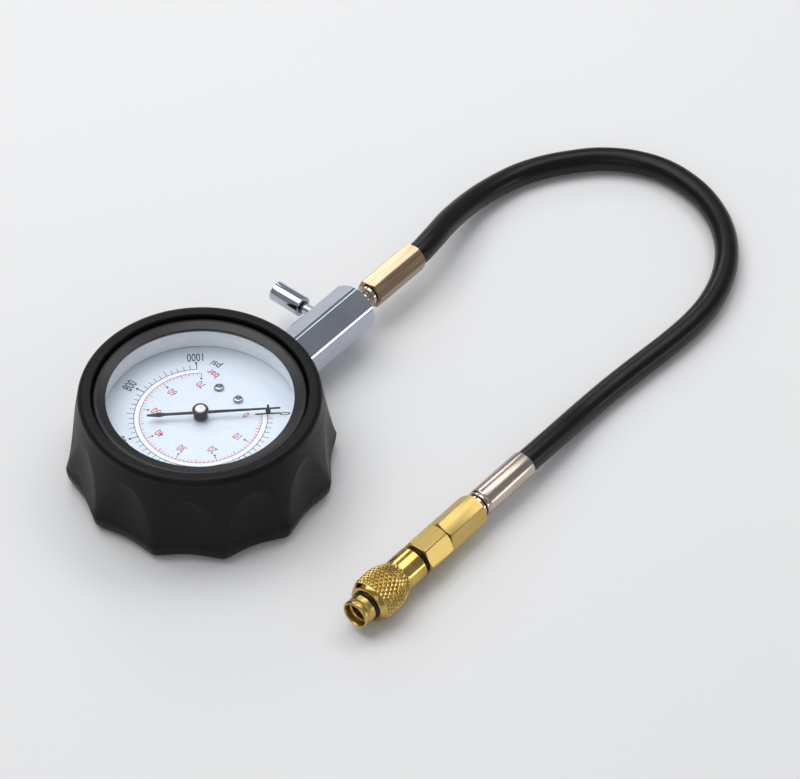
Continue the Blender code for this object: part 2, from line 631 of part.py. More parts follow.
def sector_outline():
    """Toothed rim, arm, hub and tail of the sector in one outline; +X points at the pinion."""
    pitch_r = MODULE * SECTOR_TEETH / 2
    root = pitch_r - 1.2 * MODULE
    inner = root - SECTOR_RIM
    first = math.tau * (SECTOR_CUT[0] - 0.8) / SECTOR_TEETH
    last = math.tau * (SECTOR_CUT[1] + 0.8) / SECTOR_TEETH
    middle = (first + last) / 2
    at_rim = math.asin(SECTOR_ARM / inner)
    at_hub = math.asin(SECTOR_ARM / SECTOR_HUB_R)
    tangent = math.acos((SECTOR_HUB_R - TAIL_EYE_R) / TAIL_LENGTH)
    shape = [(root * math.cos(first), root * math.sin(first))]
    for k in range(SECTOR_CUT[0], SECTOR_CUT[1] + 1):
        shape += tooth_points(pitch_r, SECTOR_TEETH, pitch_r + 0.95 * MODULE, root, k, TOOTH_SLACK)
    shape += [(root * math.cos(last), root * math.sin(last))]
    shape += arc(0, 0, inner, last, middle + at_rim, 4)
    shape += arc(0, 0, SECTOR_HUB_R, middle + at_hub, math.pi - tangent, 4)
    shape += arc(-TAIL_LENGTH, 0, TAIL_EYE_R, math.pi - tangent, math.pi + tangent, 6)
    shape += arc(0, 0, SECTOR_HUB_R, math.pi + tangent, math.tau + middle - at_hub, 3)
    return shape + arc(0, 0, inner, middle - at_rim, first, 4)


def sector_and_link(brass, steel):
    """Toothed sector on its arbor, its tail pin, and the link to the tube's tip."""
    holes = [circle(0, 0, ARBOR_R + RUN), circle(-TAIL_LENGTH, 0, PIVOT_R + RUN)]
    sector = plate("sector_gear", sector_outline(), holes, SECTOR_Z, SECTOR_Z + SECTOR_THICK, brass)
    turn = Matrix.Rotation(MESH_ANGLE + math.pi, 4, "Z")
    sector.matrix_world = Matrix.Translation((SECTOR_X, SECTOR_Y, 0)) @ turn
    under = LOWER_PLATE_Z + PLATE_THICK + SHOULDER
    over = UPPER_PLATE_Z - SHOULDER
    end = UPPER_PLATE_Z + PLATE_THICK
    turned("sector_arbor", [
        (0.0, LOWER_PLATE_Z + RUN), (JOURNAL_R, LOWER_PLATE_Z + RUN), (JOURNAL_R, under), (ARBOR_R, under),
        (ARBOR_R, over), (JOURNAL_R, over), (JOURNAL_R, end), (0.0, end)],
        steel, (SECTOR_X, SECTOR_Y, 0), sides=10)
    span = math.hypot(TIP_X - TAIL_X, TIP_Y - TAIL_Y)
    eyes = circle(0, 0, LINK_EYE_R, 14) + circle(span, 0, LINK_EYE_R, 14)
    link = plate("tip_link", hull(eyes), [circle(0, 0, PIVOT_R + RUN), circle(span, 0, PIVOT_R + RUN)],
                 LINK_Z, LINK_Z + LINK_THICK, brass)
    slant = math.atan2(TIP_Y - TAIL_Y, TIP_X - TAIL_X)
    link.matrix_world = Matrix.Translation((TAIL_X, TAIL_Y, 0)) @ Matrix.Rotation(slant, 4, "Z")
    head = LINK_Z + LINK_THICK + RUN
    for name, x, y in (("sector_pin", TAIL_X, TAIL_Y), ("tip_pin", TIP_X, TIP_Y)):
        turned(name, [(0.0, SECTOR_Z), (PIVOT_R, SECTOR_Z), (PIVOT_R, head), (PIN_HEAD_R, head),
                      (PIN_HEAD_R, head + PIN_HEAD), (0.0, head + PIN_HEAD)], steel, (x, y, 0), sides=10)


def movement_frame(brass, steel):
    """Two plates on three pillars, the dial posts, and the screws that hold the movement on the socket."""
    pillars = [(-DIAL_SCREW_X, DIAL_SCREW_Y), (DIAL_SCREW_X, DIAL_SCREW_Y), SPARE_PILLAR]
    shared = circle(0, 0, 3.6 * mm) + circle(SECTOR_X, SECTOR_Y, 3.4 * mm)
    for x, y in pillars:
        shared += circle(x, y, POST_R + 0.3 * mm)
    holes = [circle(x, y, TENON_R + RUN) for x, y in pillars]
    holes += [circle(x, y, JOURNAL_R + RUN, 12) for x, y in ((0, 0), (SECTOR_X, SECTOR_Y))]
    lower = hull(shared + circle(*MOVEMENT_SCREWS[0], 2.4 * mm))
    lower_holes = holes + [circle(x, y, MOVEMENT_SCREW_R + GAP) for x, y in MOVEMENT_SCREWS]
    plate("lower_plate", lower, lower_holes, LOWER_PLATE_Z, LOWER_PLATE_Z + PLATE_THICK, brass)
    upper = hull(shared + circle(-HAIRSPRING_STUD_X, 0, 1.6 * mm))
    plate("upper_plate", upper, holes, UPPER_PLATE_Z, UPPER_PLATE_Z + PLATE_THICK, brass)
    base = LOWER_PLATE_Z + PLATE_THICK + RUN
    top = UPPER_PLATE_Z - RUN
    end = UPPER_PLATE_Z + PLATE_THICK
    for number, (x, y) in enumerate(pillars, 1):
        turned(f"pillar_{number}", [
            (0.0, LOWER_PLATE_Z), (TENON_R, LOWER_PLATE_Z), (TENON_R, base), (PILLAR_R, base), (PILLAR_R, top),
            (TENON_R, top), (TENON_R, end), (0.0, end)], brass, (x, y, 0), sides=10)
    low = end + GAP
    high = DIAL_Z - DIAL_THICK - GAP
    hole = DIAL_SCREW_R + RUN
    for name, (x, y) in zip(("dial_post_left", "dial_post_right"), pillars):
        turned(name, [(hole, low), (POST_R, low), (POST_R, high), (hole, high)], brass, (x, y, 0), sides=16,
               ring=True)
    for number, (x, y) in enumerate(MOVEMENT_SCREWS, 1):
        slotted_screw(f"movement_screw_{number}", 1.8 * mm, 0.9 * mm, MOVEMENT_SCREW_R, PLATE_THICK + 2.4 * mm,
                      steel, (x, y, LOWER_PLATE_Z + PLATE_THICK + RUN))


def hairspring(steel, brass):
    """Flat spiral between the pointer shaft and a stud on the upper plate."""
    low = UPPER_PLATE_Z - GAP - HAIRSPRING_DEEP - 0.5 * mm
    count = int(HAIRSPRING_TURNS * 14)
    inner, outer = [], []
    for k in range(count + 1):
        share = k / count
        angle = math.tau * HAIRSPRING_TURNS * share
        radius = HAIRSPRING_INNER + (HAIRSPRING_OUTER - HAIRSPRING_INNER) * share
        inner.append(((radius - HAIRSPRING_STRIP / 2) * math.cos(angle),
                      (radius - HAIRSPRING_STRIP / 2) * math.sin(angle)))
        outer.append(((radius + HAIRSPRING_STRIP / 2) * math.cos(angle),
                      (radius + HAIRSPRING_STRIP / 2) * math.sin(angle)))
    plate("hairspring", outer + inner[::-1], [], low, low + HAIRSPRING_DEEP, steel)
    turned("hairspring_stud", [(0.0, low - 0.2 * mm), (STUD_R, low - 0.2 * mm), (STUD_R, UPPER_PLATE_Z - RUN),
                               (0.0, UPPER_PLATE_Z - RUN)], brass, (-HAIRSPRING_STUD_X, 0, 0))
    turned("hairspring_collet", [(ARBOR_R + RUN, low), (HAIRSPRING_INNER - HAIRSPRING_STRIP / 2 - RUN, low),
                                 (HAIRSPRING_INNER - HAIRSPRING_STRIP / 2 - RUN, low + HAIRSPRING_DEEP),
                                 (ARBOR_R + RUN, low + HAIRSPRING_DEEP)], brass, sides=12, ring=True)


def join(obj, parts):
    """Unites further solids with a piece."""
    for part in parts:
        modifier = obj.modifiers.new("join", "BOOLEAN")
        modifier.operation = "UNION"
        modifier.solver = "EXACT"
        modifier.object = part
    return obj


def socket_block(brass, screws):
    """Stem, inner block and tongue in one brass forging, with the pressure channel and the tube's slot."""
    half = SOCKET_WIDTH / 2
    foot_z = CASE_IN_Z + GAP
    top_z = STEM_Z + SOCKET_THICK / 2
    tongue_low = TONGUE_TOP_Z - TONGUE_THICK
    length = SOCKET_END_Y - STEM_END_Y
    socket = turned("socket_block", [
        (0.0, -6.0 * mm), (STEM_ROOT_R, -6.0 * mm), (STEM_ROOT_R, 0.0), (STEM_R, 0.0), (STEM_R, length - 1.0 * mm),
        (STEM_R - 1.0 * mm, length), (0.0, length)], brass, (0, SOCKET_END_Y, STEM_Z), "-Y")
    corners = (((-half, SOCKET_END_Y, foot_z), (half, SOCKET_INNER_Y, top_z)),
               ((-half, SOCKET_INNER_Y - 3.0 * mm, tongue_low), (half, TONGUE_END_Y, TONGUE_TOP_Z)))
    join(socket, [cutter(to_mesh("socket_bar", block(low, high))) for low, high in corners])
    drill(socket, CHANNEL_R, TUBE_R - TUBE_THICK, -STEM_END_Y + 1.0 * mm, (0, 0, STEM_Z), "-Y")
    deep = TUBE_DEEP / 2 + GAP
    slot_low = -(TUBE_R + TUBE_THICK / 2 + GAP)
    slot_high = -((TUBE_R ** 2 - half ** 2) ** 0.5 - TUBE_THICK / 2 - GAP)
    slot = block((-half - 1.0 * mm, slot_low, STEM_Z - deep), (CHANNEL_R, slot_high, STEM_Z + deep))
    cut(socket, cutter(to_mesh("tube_slot", slot)))
    for x, y in screws:
        drill(socket, MOVEMENT_SCREW_R + RUN, tongue_low - 1.0 * mm, TONGUE_TOP_Z + 1.0 * mm, (x, y, 0))
    for x in (-REAR_SCREW_X, REAR_SCREW_X):
        drill(socket, REAR_SCREW_R + RUN, foot_z - 1.0 * mm, foot_z + 3.6 * mm, (x, REAR_SCREW_Y, 0))


def pressure_tube(bronze, brass):
    """The bent, flattened tube and the block that closes its tip and carries the link's pin."""
    steps = 24
    half = TUBE_THICK / 2
    flat = TUBE_DEEP / 2 - half
    bm = bmesh.new()
    loops = []
    for k in range(steps + 1):
        angle = TUBE_START + (TUBE_END - TUBE_START) * k / steps
        pair = []
        for inset in (0.0, TUBE_WALL):
            loop = []
            for m in range(8):
                turn = math.tau * (m + 0.5) / 8
                lift = flat if math.sin(turn) > 0 else -flat
                radius = TUBE_R + (half - inset) * math.cos(turn)
                height = STEM_Z + lift + (half - inset) * math.sin(turn)
                loop.append(bm.verts.new((radius * math.cos(angle), radius * math.sin(angle), height)))
            pair.append(loop)
        loops.append(pair)
    for before, after in zip(loops, loops[1:]):
        for a, b in zip(before, after):
            for m in range(8):
                bm.faces.new((a[m], a[m - 1], b[m - 1], b[m]))
    for outer, inner in (loops[0], loops[-1]):
        for m in range(8):
            bm.faces.new((outer[m], outer[m - 1], inner[m - 1], inner[m]))
    place("bourdon_tube", to_mesh("bourdon_tube", bm), bronze)
    cap_start = TUBE_END - GAP / TUBE_R
    cap_end = cap_start - TIP_LENGTH / TUBE_R
    inner_r, outer_r = TUBE_R - half - 0.5 * mm, TUBE_R + half + 0.5 * mm
    cap = arc(0, 0, outer_r, cap_start, cap_end, 2) + arc(0, 0, inner_r, cap_end, cap_start, 2)
    deep = TUBE_DEEP / 2 + 0.4 * mm
    ear = hull(circle(TIP_X, TIP_Y, LINK_EYE_R) + arc(0, 0, inner_r + 1.0 * mm, cap_start, cap_end, 2))
    tip = plate("tube_tip", cap[::-1], [], STEM_Z - deep, STEM_Z + deep, brass)
    join(tip, [cutter(to_mesh("tip_ear", prism(ear, [circle(TIP_X, TIP_Y, PIVOT_R + RUN)], SECTOR_Z,
                                               SECTOR_Z + SECTOR_THICK)))])


def rear_screws(steel):
    """Two screws that hold the case on the socket from the back, their heads in the boot's floor."""
    for name, x in (("case_screw_left", -REAR_SCREW_X), ("case_screw_right", REAR_SCREW_X)):
        slotted_screw(name, REAR_HEAD_R, REAR_HEAD, REAR_SCREW_R, CASE_FLOOR + 3.6 * mm, steel,
                      (x, REAR_SCREW_Y, CASE_BACK_Z - RUN), "-Z")


def hex_bar(name, across, length, material, at, axis, turn=0.0):
    """Hexagonal bar with both ends turned to a chamfer."""
    corner = across / 2 / math.cos(math.pi / 6) + 0.2 * mm
    face = across / 2 * 0.95
    slope = (corner - face) * 0.6
    bar = place(name, to_mesh(name, prism(hexagon(across), [], 0.0, length), 30.0), material, at, axis, turn)
    profile = [(0.0, -1e-5), (face, -1e-5), (corner, slope), (corner, length - slope), (face, length + 1e-5),
               (0.0, length + 1e-5)]
    chamfer = cutter(to_mesh("chamfer", spun(profile, 24, False)), at, axis)
    modifier = bar.modifiers.new("chamfer", "BOOLEAN")
    modifier.operation = "INTERSECT"
    modifier.solver = "EXACT"
    modifier.object = chamfer
    return bar


def bore(obj, profile, at, axis, sides=24):
    """Cuts a stepped bore, given as its half profile along an axis."""
    return cut(obj, cutter(to_mesh("bore", spun(profile, sides, False)), at, axis))


def valve_body(nickel, copper):
    """Hex body screwed on the stem, with the side port for the relief valve, and its sealing washer."""
    length = BODY_START_Y - BODY_END_Y
    at = (0, BODY_START_Y, STEM_Z)
    body = hex_bar("valve_body", BODY_ACROSS, length, nickel, at, "-Y")
    seat = STEM_LENGTH + GAP + WASHER_THICK + GAP
    thread = NIPPLE_THREAD_R + GAP
    bore(body, [(0.0, -1.0 * mm), (STEM_R + GAP, -1.0 * mm), (STEM_R + GAP, seat), (BODY_BORE_R, seat),
                (BODY_BORE_R, length - NIPPLE_THREAD - GAP), (thread, length - NIPPLE_THREAD - GAP),
                (thread, length + 1.0 * mm), (0.0, length + 1.0 * mm)], at, "-Y", 20)
    drill(body, RELIEF_HOLE_R, 0.0, BODY_ACROSS, (0, RELIEF_Y, STEM_Z), "+X", 14)
    start = STEM_LENGTH + GAP
    turned("stem_washer", [(BODY_BORE_R + 0.4 * mm, start), (STEM_R - 0.6 * mm, start),
                           (STEM_R - 0.6 * mm, start + WASHER_THICK),
                           (BODY_BORE_R + 0.4 * mm, start + WASHER_THICK)], copper, at, "-Y", 20, ring=True)


def relief_valve(nickel, steel, rubber):
    """Side valve that lets the held pressure out when its button is pushed towards the body."""
    at = (0, RELIEF_Y, STEM_Z)
    face = BODY_ACROSS / 2
    hole = RELIEF_PIN_R + RUN
    neck_end = BUTTON_X + BUTTON_LENGTH - BUTTON_END - RELIEF_SPRING_ROOM
    turned("relief_bush", [
        (hole, face - BUSH_DEPTH), (RELIEF_HOLE_R - GAP, face - BUSH_DEPTH), (RELIEF_HOLE_R - GAP, face - 0.4 * mm),
        (RELIEF_NECK_R, face + 0.2 * mm), (RELIEF_NECK_R, neck_end - 1.0 * mm),
        (BUTTON_BORE_R - GAP, neck_end - 1.0 * mm), (BUTTON_BORE_R - GAP, neck_end), (hole, neck_end)],
        nickel, at, "+X", 16, ring=True)
    end = BUTTON_X + BUTTON_LENGTH
    floor = end - BUTTON_END
    turned("relief_button", [
        (0.0, end), (BUTTON_R - 0.6 * mm, end), (BUTTON_R, end - 0.6 * mm), (BUTTON_R, BUTTON_X + 0.4 * mm),
        (BUTTON_R - 0.4 * mm, BUTTON_X), (BUTTON_BORE_R, BUTTON_X), (BUTTON_BORE_R, floor), (hole, floor),
        (hole, end - 0.8 * mm), (0.0, end - 0.8 * mm)], nickel, at, "+X", 20)
    seat = face - BUSH_DEPTH
    head = seat - 2 * (RELIEF_SEAL_R + RUN)
    turned("relief_pin", [
        (0.0, head - 1.2 * mm), (RELIEF_HEAD_R, head - 1.2 * mm), (RELIEF_HEAD_R, head), (RELIEF_PIN_R, head),
        (RELIEF_PIN_R, end - 0.8 * mm - RUN), (0.0, end - 0.8 * mm - RUN)], steel, at, "+X", 14)
    around = RELIEF_PIN_R + RUN + RELIEF_SEAL_R
    turned("relief_seal", [(around + RELIEF_SEAL_R * math.cos(a), seat - RUN - RELIEF_SEAL_R + RELIEF_SEAL_R
                            * math.sin(a)) for a in (math.tau * k / 6 for k in range(6))], rubber, at, "+X", 12,
           ring=True)
    wire_r = 0.3 * mm
    points = coil(BUTTON_BORE_R - GAP - wire_r, neck_end + GAP + wire_r, floor - GAP - wire_r, 4.0, 8)
    wire("relief_spring", aimed(points, at, "+X"), wire_r, steel)


def hose_nipple(name, neck, thread_r, thread, collar_r, material, at):
    """Turned hose tail: barb, collar, neck with a second collar, and thread; its zero is the ferrule's end."""
    barb = FERRULE_LENGTH - HOSE_INSERT - 2 * GAP
    end = GAP + COLLAR
    profile = [(NIPPLE_BORE_R, -barb), (NIPPLE_R, -barb), (NIPPLE_R, GAP), (collar_r, GAP), (collar_r, end)]
    if neck > 0:
        profile += [(NIPPLE_NECK_R, end), (NIPPLE_NECK_R, neck - end), (collar_r, neck - end)]
        end = neck - GAP
        profile += [(collar_r, end)]
    profile += [(thread_r, end), (thread_r, end + thread), (NIPPLE_BORE_R, end + thread)]
    turned(name, profile, material, at, "+Y", 16, ring=True)


def ferrule_bore():
    """Half profile of a ferrule's bore from the nipple's end to the mouth that takes the hose."""
    shoulder = FERRULE_LENGTH - HOSE_INSERT - GAP
    return [(0.0, -1.0 * mm), (NIPPLE_R + GAP, -1.0 * mm), (NIPPLE_R + GAP, shoulder), (HOSE_R + HOSE_FIT, shoulder),
            (HOSE_R + HOSE_FIT, FERRULE_LENGTH + 1.0 * mm), (0.0, FERRULE_LENGTH + 1.0 * mm)]


def hose_and_ferrules(nickel, pale, rubber):
    """Crimped ends, hose tails and the hose between them, laid as it comes to rest."""
    at_a = (0, FERRULE_A_Y, STEM_Z)
    at_b = (COUPLER_X, FERRULE_B_Y, COUPLER_Z)
    ferrule = hex_bar("ferrule_a", FERRULE_A_ACROSS, FERRULE_LENGTH, pale, at_a, "-Y", FERRULE_A_TURN)
    bore(ferrule, ferrule_bore(), at_a, "-Y", 24)
    shoulder = FERRULE_LENGTH - HOSE_INSERT - GAP
    turned("ferrule_b", [
        (NIPPLE_R + GAP, 0.0), (FERRULE_B_R - 0.5 * mm, 0.0), (FERRULE_B_R, 0.5 * mm),
        (FERRULE_B_R, FERRULE_LENGTH - 0.5 * mm), (FERRULE_B_R - 0.4 * mm, FERRULE_LENGTH),
        (HOSE_R + HOSE_FIT, FERRULE_LENGTH), (HOSE_R + HOSE_FIT, shoulder), (NIPPLE_R + GAP, shoulder)],
        nickel, at_b, "-Y", 24, ring=True)
    hose_nipple("nipple_a", NECK_LENGTH, NIPPLE_THREAD_R, NIPPLE_THREAD, COLLAR_A_R, pale, at_a)
    hose_nipple("nipple_b", 0.0, ADAPTER_THREAD_R, ADAPTER_THREAD, COLLAR_B_R, nickel, at_b)
    start = Vector((0, FERRULE_A_Y - FERRULE_LENGTH + HOSE_INSERT, STEM_Z))
    end = Vector((COUPLER_X, FERRULE_B_Y - FERRULE_LENGTH + HOSE_INSERT, COUPLER_Z))
    lead = Vector((0, HOSE_LEAD, 0))
    route = [start, start - lead] + [Vector(point) * mm for point in HOSE_ROUTE] + [end - lead, end]
    wire("hose", smooth_route(route, HOSE_STEP), HOSE_R, rubber, resolution=2)


def coupler(brass, steel, rubber):
    """Hex adapter and quick coupler: body, sleeve with its spring, lock balls, snap ring and check valve."""
    at_adapter = (COUPLER_X, ADAPTER_Y, COUPLER_Z)
    adapter = hex_bar("hex_adapter", ADAPTER_ACROSS, ADAPTER_LENGTH, brass, at_adapter, "+Y",
                      math.radians(90) - ADAPTER_TURN)
    run = COUPLER_THREAD_R
    stub = ADAPTER_LENGTH + ADAPTER_SPACE + COUPLER_THREAD
    tail = spun([(0.0, 4.0 * mm), (run, 4.0 * mm), (run, stub - 0.8 * mm), (run - 0.8 * mm, stub), (0.0, stub)],
                20, False)
    join(adapter, [cutter(to_mesh("adapter_thread", tail), at_adapter, "+Y")])
    deep = ADAPTER_THREAD + GAP
    bore(adapter, [(0.0, -1.0 * mm), (ADAPTER_THREAD_R + GAP, -1.0 * mm), (ADAPTER_THREAD_R + GAP, deep),
                   (NIPPLE_BORE_R, deep), (NIPPLE_BORE_R, stub + 1.0 * mm), (0.0, stub + 1.0 * mm)],
         at_adapter, "+Y", 20)

    at = (COUPLER_X, COUPLER_Y, COUPLER_Z)
    hexed = COUPLER_HEX_LENGTH
    mouth = hexed + COUPLER_TUBE_LENGTH
    body = hex_bar("coupler_body", COUPLER_ACROSS, hexed, brass, at, "+Y", math.radians(90) - COUPLER_TURN)
    groove = hexed + SLEEVE_SPACE + SLEEVE_LENGTH + 0.1 * mm
    root = hexed - COUPLER_ROOT
    tube = [(0.0, root), (COUPLER_REAR_R, root), (COUPLER_REAR_R, hexed + SPRING_END),
            (COUPLER_FRONT_R, hexed + SPRING_END), (COUPLER_FRONT_R, groove), (RING_GROOVE_R, groove),
            (RING_GROOVE_R, groove + RING_GROOVE), (COUPLER_FRONT_R, groove + RING_GROOVE),
            (COUPLER_FRONT_R, mouth - 2.9 * mm), (COUPLER_FRONT_R - 0.5 * mm, mouth - 2.4 * mm),
            (COUPLER_FRONT_R, mouth - 1.9 * mm), (COUPLER_FRONT_R, mouth - 0.4 * mm),
            (COUPLER_FRONT_R - 0.4 * mm, mouth), (0.0, mouth)]
    join(body, [cutter(to_mesh("coupler_tube", spun(tube, 20, False)), at, "+Y")])
    chamber = hexed - CHECK_DEPTH + CHECK_FORWARD
    seat = chamber + CHECK_DEPTH
    socket = seat + SEAT_WALL
    bore(body, [(0.0, -1.0 * mm), (COUPLER_THREAD_R + GAP, -1.0 * mm),
                (COUPLER_THREAD_R + GAP, COUPLER_THREAD + GAP), (NIPPLE_BORE_R, COUPLER_THREAD + GAP),
                (NIPPLE_BORE_R, chamber), (CHECK_R, chamber), (CHECK_R, seat), (CHECK_R - CHECK_LIP, seat),
                (CHECK_R - CHECK_LIP, socket), (COUPLER_BORE_R, socket), (COUPLER_BORE_R, mouth - 0.3 * mm),
                (COUPLER_BORE_R + 0.3 * mm, mouth), (COUPLER_BORE_R + 0.3 * mm, mouth + 1.0 * mm),
                (0.0, mouth + 1.0 * mm)], at, "+Y", 20)
    for k in range(BALLS):
        lock_ball_hole(body, k)
    lock_balls(steel)
    sleeve_at = (COUPLER_X, SLEEVE_Y, COUPLER_Z)
    shoulder = SPRING_END - SLEEVE_SPACE + GAP
    front = COUPLER_FRONT_R + GAP
    length = SLEEVE_LENGTH
    turned("coupler_sleeve", [
        (SLEEVE_BORE_R, 0.0), (SLEEVE_R - 0.3 * mm, 0.0), (SLEEVE_R, 0.4 * mm), (SLEEVE_R, length * 0.34),
        (SLEEVE_R + 0.35 * mm, length * 0.40), (SLEEVE_R + 1.2 * mm, length * 0.47),
        (KNURL_R - 0.25 * mm, length * 0.54), (KNURL_R, length * 0.61), (KNURL_R, length * 0.80),
        (KNURL_R - 0.35 * mm, length * 0.90), (KNURL_R - 0.9 * mm, length * 0.96), (KNURL_R - 1.7 * mm, length), (front, length), (front, shoulder),
        (SLEEVE_BORE_R, shoulder)], brass, sleeve_at, "+Y", 28, ring=True)
    spring_r = 0.4 * mm
    face = COUPLER_FACE_Y
    points = coil(SLEEVE_BORE_R - RUN - spring_r, GAP + spring_r, SPRING_END - spring_r, 5.0, 8)
    wire("sleeve_spring", aimed(points, (COUPLER_X, face, COUPLER_Z), "+Y"), spring_r, steel)
    ring_r = 0.5 * mm
    span = [math.radians(15 + 330 * k / 16) for k in range(17)]
    middle = RING_GROOVE_R + ring_r + RUN
    points = [(middle * math.cos(a), middle * math.sin(a), groove + 0.2 * mm + ring_r) for a in span]
    wire("snap_ring", aimed(points, at, "+Y"), ring_r, steel)
    seal_r = 0.6 * mm
    around = COUPLER_BORE_R - RUN - seal_r
    turned("bore_seal", [(around + seal_r * math.cos(a), socket + RUN + seal_r + seal_r * math.sin(a))
                         for a in (math.tau * k / 6 for k in range(6))], rubber, at, "+Y", 16, ring=True)
    head = seat - GAP
    turned("check_poppet", [
        (0.0, chamber + 1.6 * mm), (0.8 * mm, chamber + 1.6 * mm), (0.8 * mm, head - 1.4 * mm),
        (CHECK_R - GAP, head - 1.4 * mm), (CHECK_R - GAP, head - 0.4 * mm), (1.3 * mm, head), (1.3 * mm, head + 2.0 * mm),
        (0.0, head + 2.0 * mm)], brass, at, "+Y", 16)
    spring_r = 0.25 * mm
    points = coil(CHECK_R - GAP - 0.2 * mm - spring_r, chamber + GAP + spring_r, head - 1.4 * mm - RUN - spring_r, 3.0, 8)
    wire("check_spring", aimed(points, at, "+Y"), spring_r, steel)


def ball_axis(index):
    """Axis from the coupler's centre line out through one lock ball."""
    angle = math.tau * index / BALLS
    return Vector((math.cos(angle), 0.0, math.sin(angle)))


def lock_ball_hole(body, index):
    """Radial hole in the coupler's wall for one ball."""
    hole = spun([(0.0, 2.0 * mm), (BALL_R + RUN, 2.0 * mm), (BALL_R + RUN, 7.0 * mm), (0.0, 7.0 * mm)], 10, False)
    tool = cutter(to_mesh("ball_hole", hole))
    centre = Vector((COUPLER_X, COUPLER_FACE_Y + BALL_PLACE, COUPLER_Z))
    tool.matrix_world = Matrix.Translation(centre) @ ball_axis(index).to_track_quat("Z", "Y").to_matrix().to_4x4()
    cut(body, tool)


def lock_balls(steel):
    """Balls held between the coupler's wall and its sleeve."""
    centre = Vector((COUPLER_X, COUPLER_FACE_Y + BALL_PLACE, COUPLER_Z))
    for k in range(BALLS):
        bm = bmesh.new()
        bmesh.ops.create_uvsphere(bm, u_segments=8, v_segments=5, radius=BALL_R)
        ball = place(f"lock_ball_{k + 1}", to_mesh("lock_ball", bm, 60.0), steel)
        ball.location = centre + ball_axis(k) * (COUPLER_FRONT_R - BALL_R)


def build():
    """Removes what the scene holds and models the whole gauge."""
    for obj in list(bpy.data.objects):
        bpy.data.objects.remove(obj)
    rubber = finish_material("black_rubber", (0.02, 0.02, 0.021), 0.75)
    steel = finish_material("steel", (0.55, 0.56, 0.58), 0.35, 1.0)
    bezel_black = finish_material("bezel_black", (0.035, 0.035, 0.04), 0.4)
    glass = finish_material("lens_glass", (0.95, 0.97, 0.98), 0.05, 0.0, 0.25)
    white = finish_material("dial_white", (0.82, 0.85, 0.9), 0.5)
    black = finish_material("pointer_black", (0.012, 0.012, 0.014), 0.45)
    nickel = finish_material("nickel", (0.72, 0.71, 0.69), 0.2, 1.0)
    pale = finish_material("pale_nickel", (0.7, 0.62, 0.5), 0.3, 1.0)
    brass = finish_material("brass", (0.72, 0.5, 0.2), 0.28, 1.0)
    bronze = finish_material("bronze", (0.55, 0.36, 0.18), 0.35, 1.0)
    copper = finish_material("copper", (0.75, 0.35, 0.22), 0.35, 1.0)
    rubber_boot(rubber)
    gauge_shell(steel, bezel_black, glass, rubber, white)
    rear_screws(steel)
    dial_and_pointer(white, nickel, black, steel)
    pinion_and_shaft(steel)
    sector_and_link(brass, steel)
    movement_frame(brass, steel)
    hairspring(bronze, brass)
    socket_block(brass, MOVEMENT_SCREWS)
    pressure_tube(bronze, brass)
    valve_body(nickel, copper)
    relief_valve(nickel, steel, rubber)
    hose_and_ferrules(nickel, pale, rubber)
    coupler(brass, steel, rubber)


build()
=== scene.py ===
"""Looks of a dial gauge in its rubber boot, with its hex valve body, hose and brass quick coupler."""
import math

import bmesh
import bpy
from mathutils import Matrix, Quaternion, Vector


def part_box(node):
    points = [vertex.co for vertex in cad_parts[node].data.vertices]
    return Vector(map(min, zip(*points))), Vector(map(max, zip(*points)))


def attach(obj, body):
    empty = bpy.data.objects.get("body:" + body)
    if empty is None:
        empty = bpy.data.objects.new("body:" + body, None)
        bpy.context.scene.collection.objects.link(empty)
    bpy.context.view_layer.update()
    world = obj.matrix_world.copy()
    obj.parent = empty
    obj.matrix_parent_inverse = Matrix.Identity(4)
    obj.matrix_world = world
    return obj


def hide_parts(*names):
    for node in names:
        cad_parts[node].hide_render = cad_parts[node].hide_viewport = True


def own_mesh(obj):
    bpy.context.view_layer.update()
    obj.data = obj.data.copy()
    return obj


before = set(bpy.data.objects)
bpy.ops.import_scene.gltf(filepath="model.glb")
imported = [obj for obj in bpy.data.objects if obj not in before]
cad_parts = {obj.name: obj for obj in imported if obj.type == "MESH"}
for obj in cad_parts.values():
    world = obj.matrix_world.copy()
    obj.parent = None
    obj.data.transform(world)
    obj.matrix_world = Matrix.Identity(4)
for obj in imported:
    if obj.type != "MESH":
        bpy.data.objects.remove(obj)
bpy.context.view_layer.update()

mm = 0.001


# Objects and places

def new_object(name, data):
    """A new object, linked into the scene."""
    obj = bpy.data.objects.new(name, data)
    bpy.context.scene.collection.objects.link(obj)
    return obj


def side_of(node, side):
    """Middle of one side of a CAD node's box, such as "+Y", to a thousandth of a millimetre."""
    low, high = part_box(node)
    at = (low + high) / 2
    axis = "XYZ".index(side[1])
    at[axis] = (high if side[0] == "+" else low)[axis]
    return tuple(round(value / mm, 3) for value in at)


# Places in millimetres, taken from the solids
STEM_Z = side_of("valve_body", "+Y")[2]
RELIEF_AT = (0, side_of("relief_bush", "-X")[1], STEM_Z)
COUPLER_X, _, COUPLER_Z = side_of("coupler_sleeve", "-Y")
DIAL_Z = side_of("dial_plate", "+Z")[2]


# Camera, with its places in metres and its lens in millimetres

EYE = Vector((-0.8352, 0.8938, 1.3291))
AIM = Vector((-0.0418, -0.0679, 0.015))
LENS = 212
ROLL = math.radians(0.6)


def aim_camera():
    """Long lens that looks down from beyond the dial's upper left."""
    data = bpy.data.cameras.new("camera")
    data.sensor_width = 36
    data.lens = LENS
    data.clip_start = 0.05
    data.clip_end = 20
    camera = new_object("camera", data)
    camera.location = EYE
    camera.rotation_mode = "QUATERNION"
    camera.rotation_quaternion = (AIM - EYE).to_track_quat("-Z", "Y") @ Quaternion((0, 0, 1), ROLL)
    bpy.context.scene.camera = camera


aim_camera()


# Materials

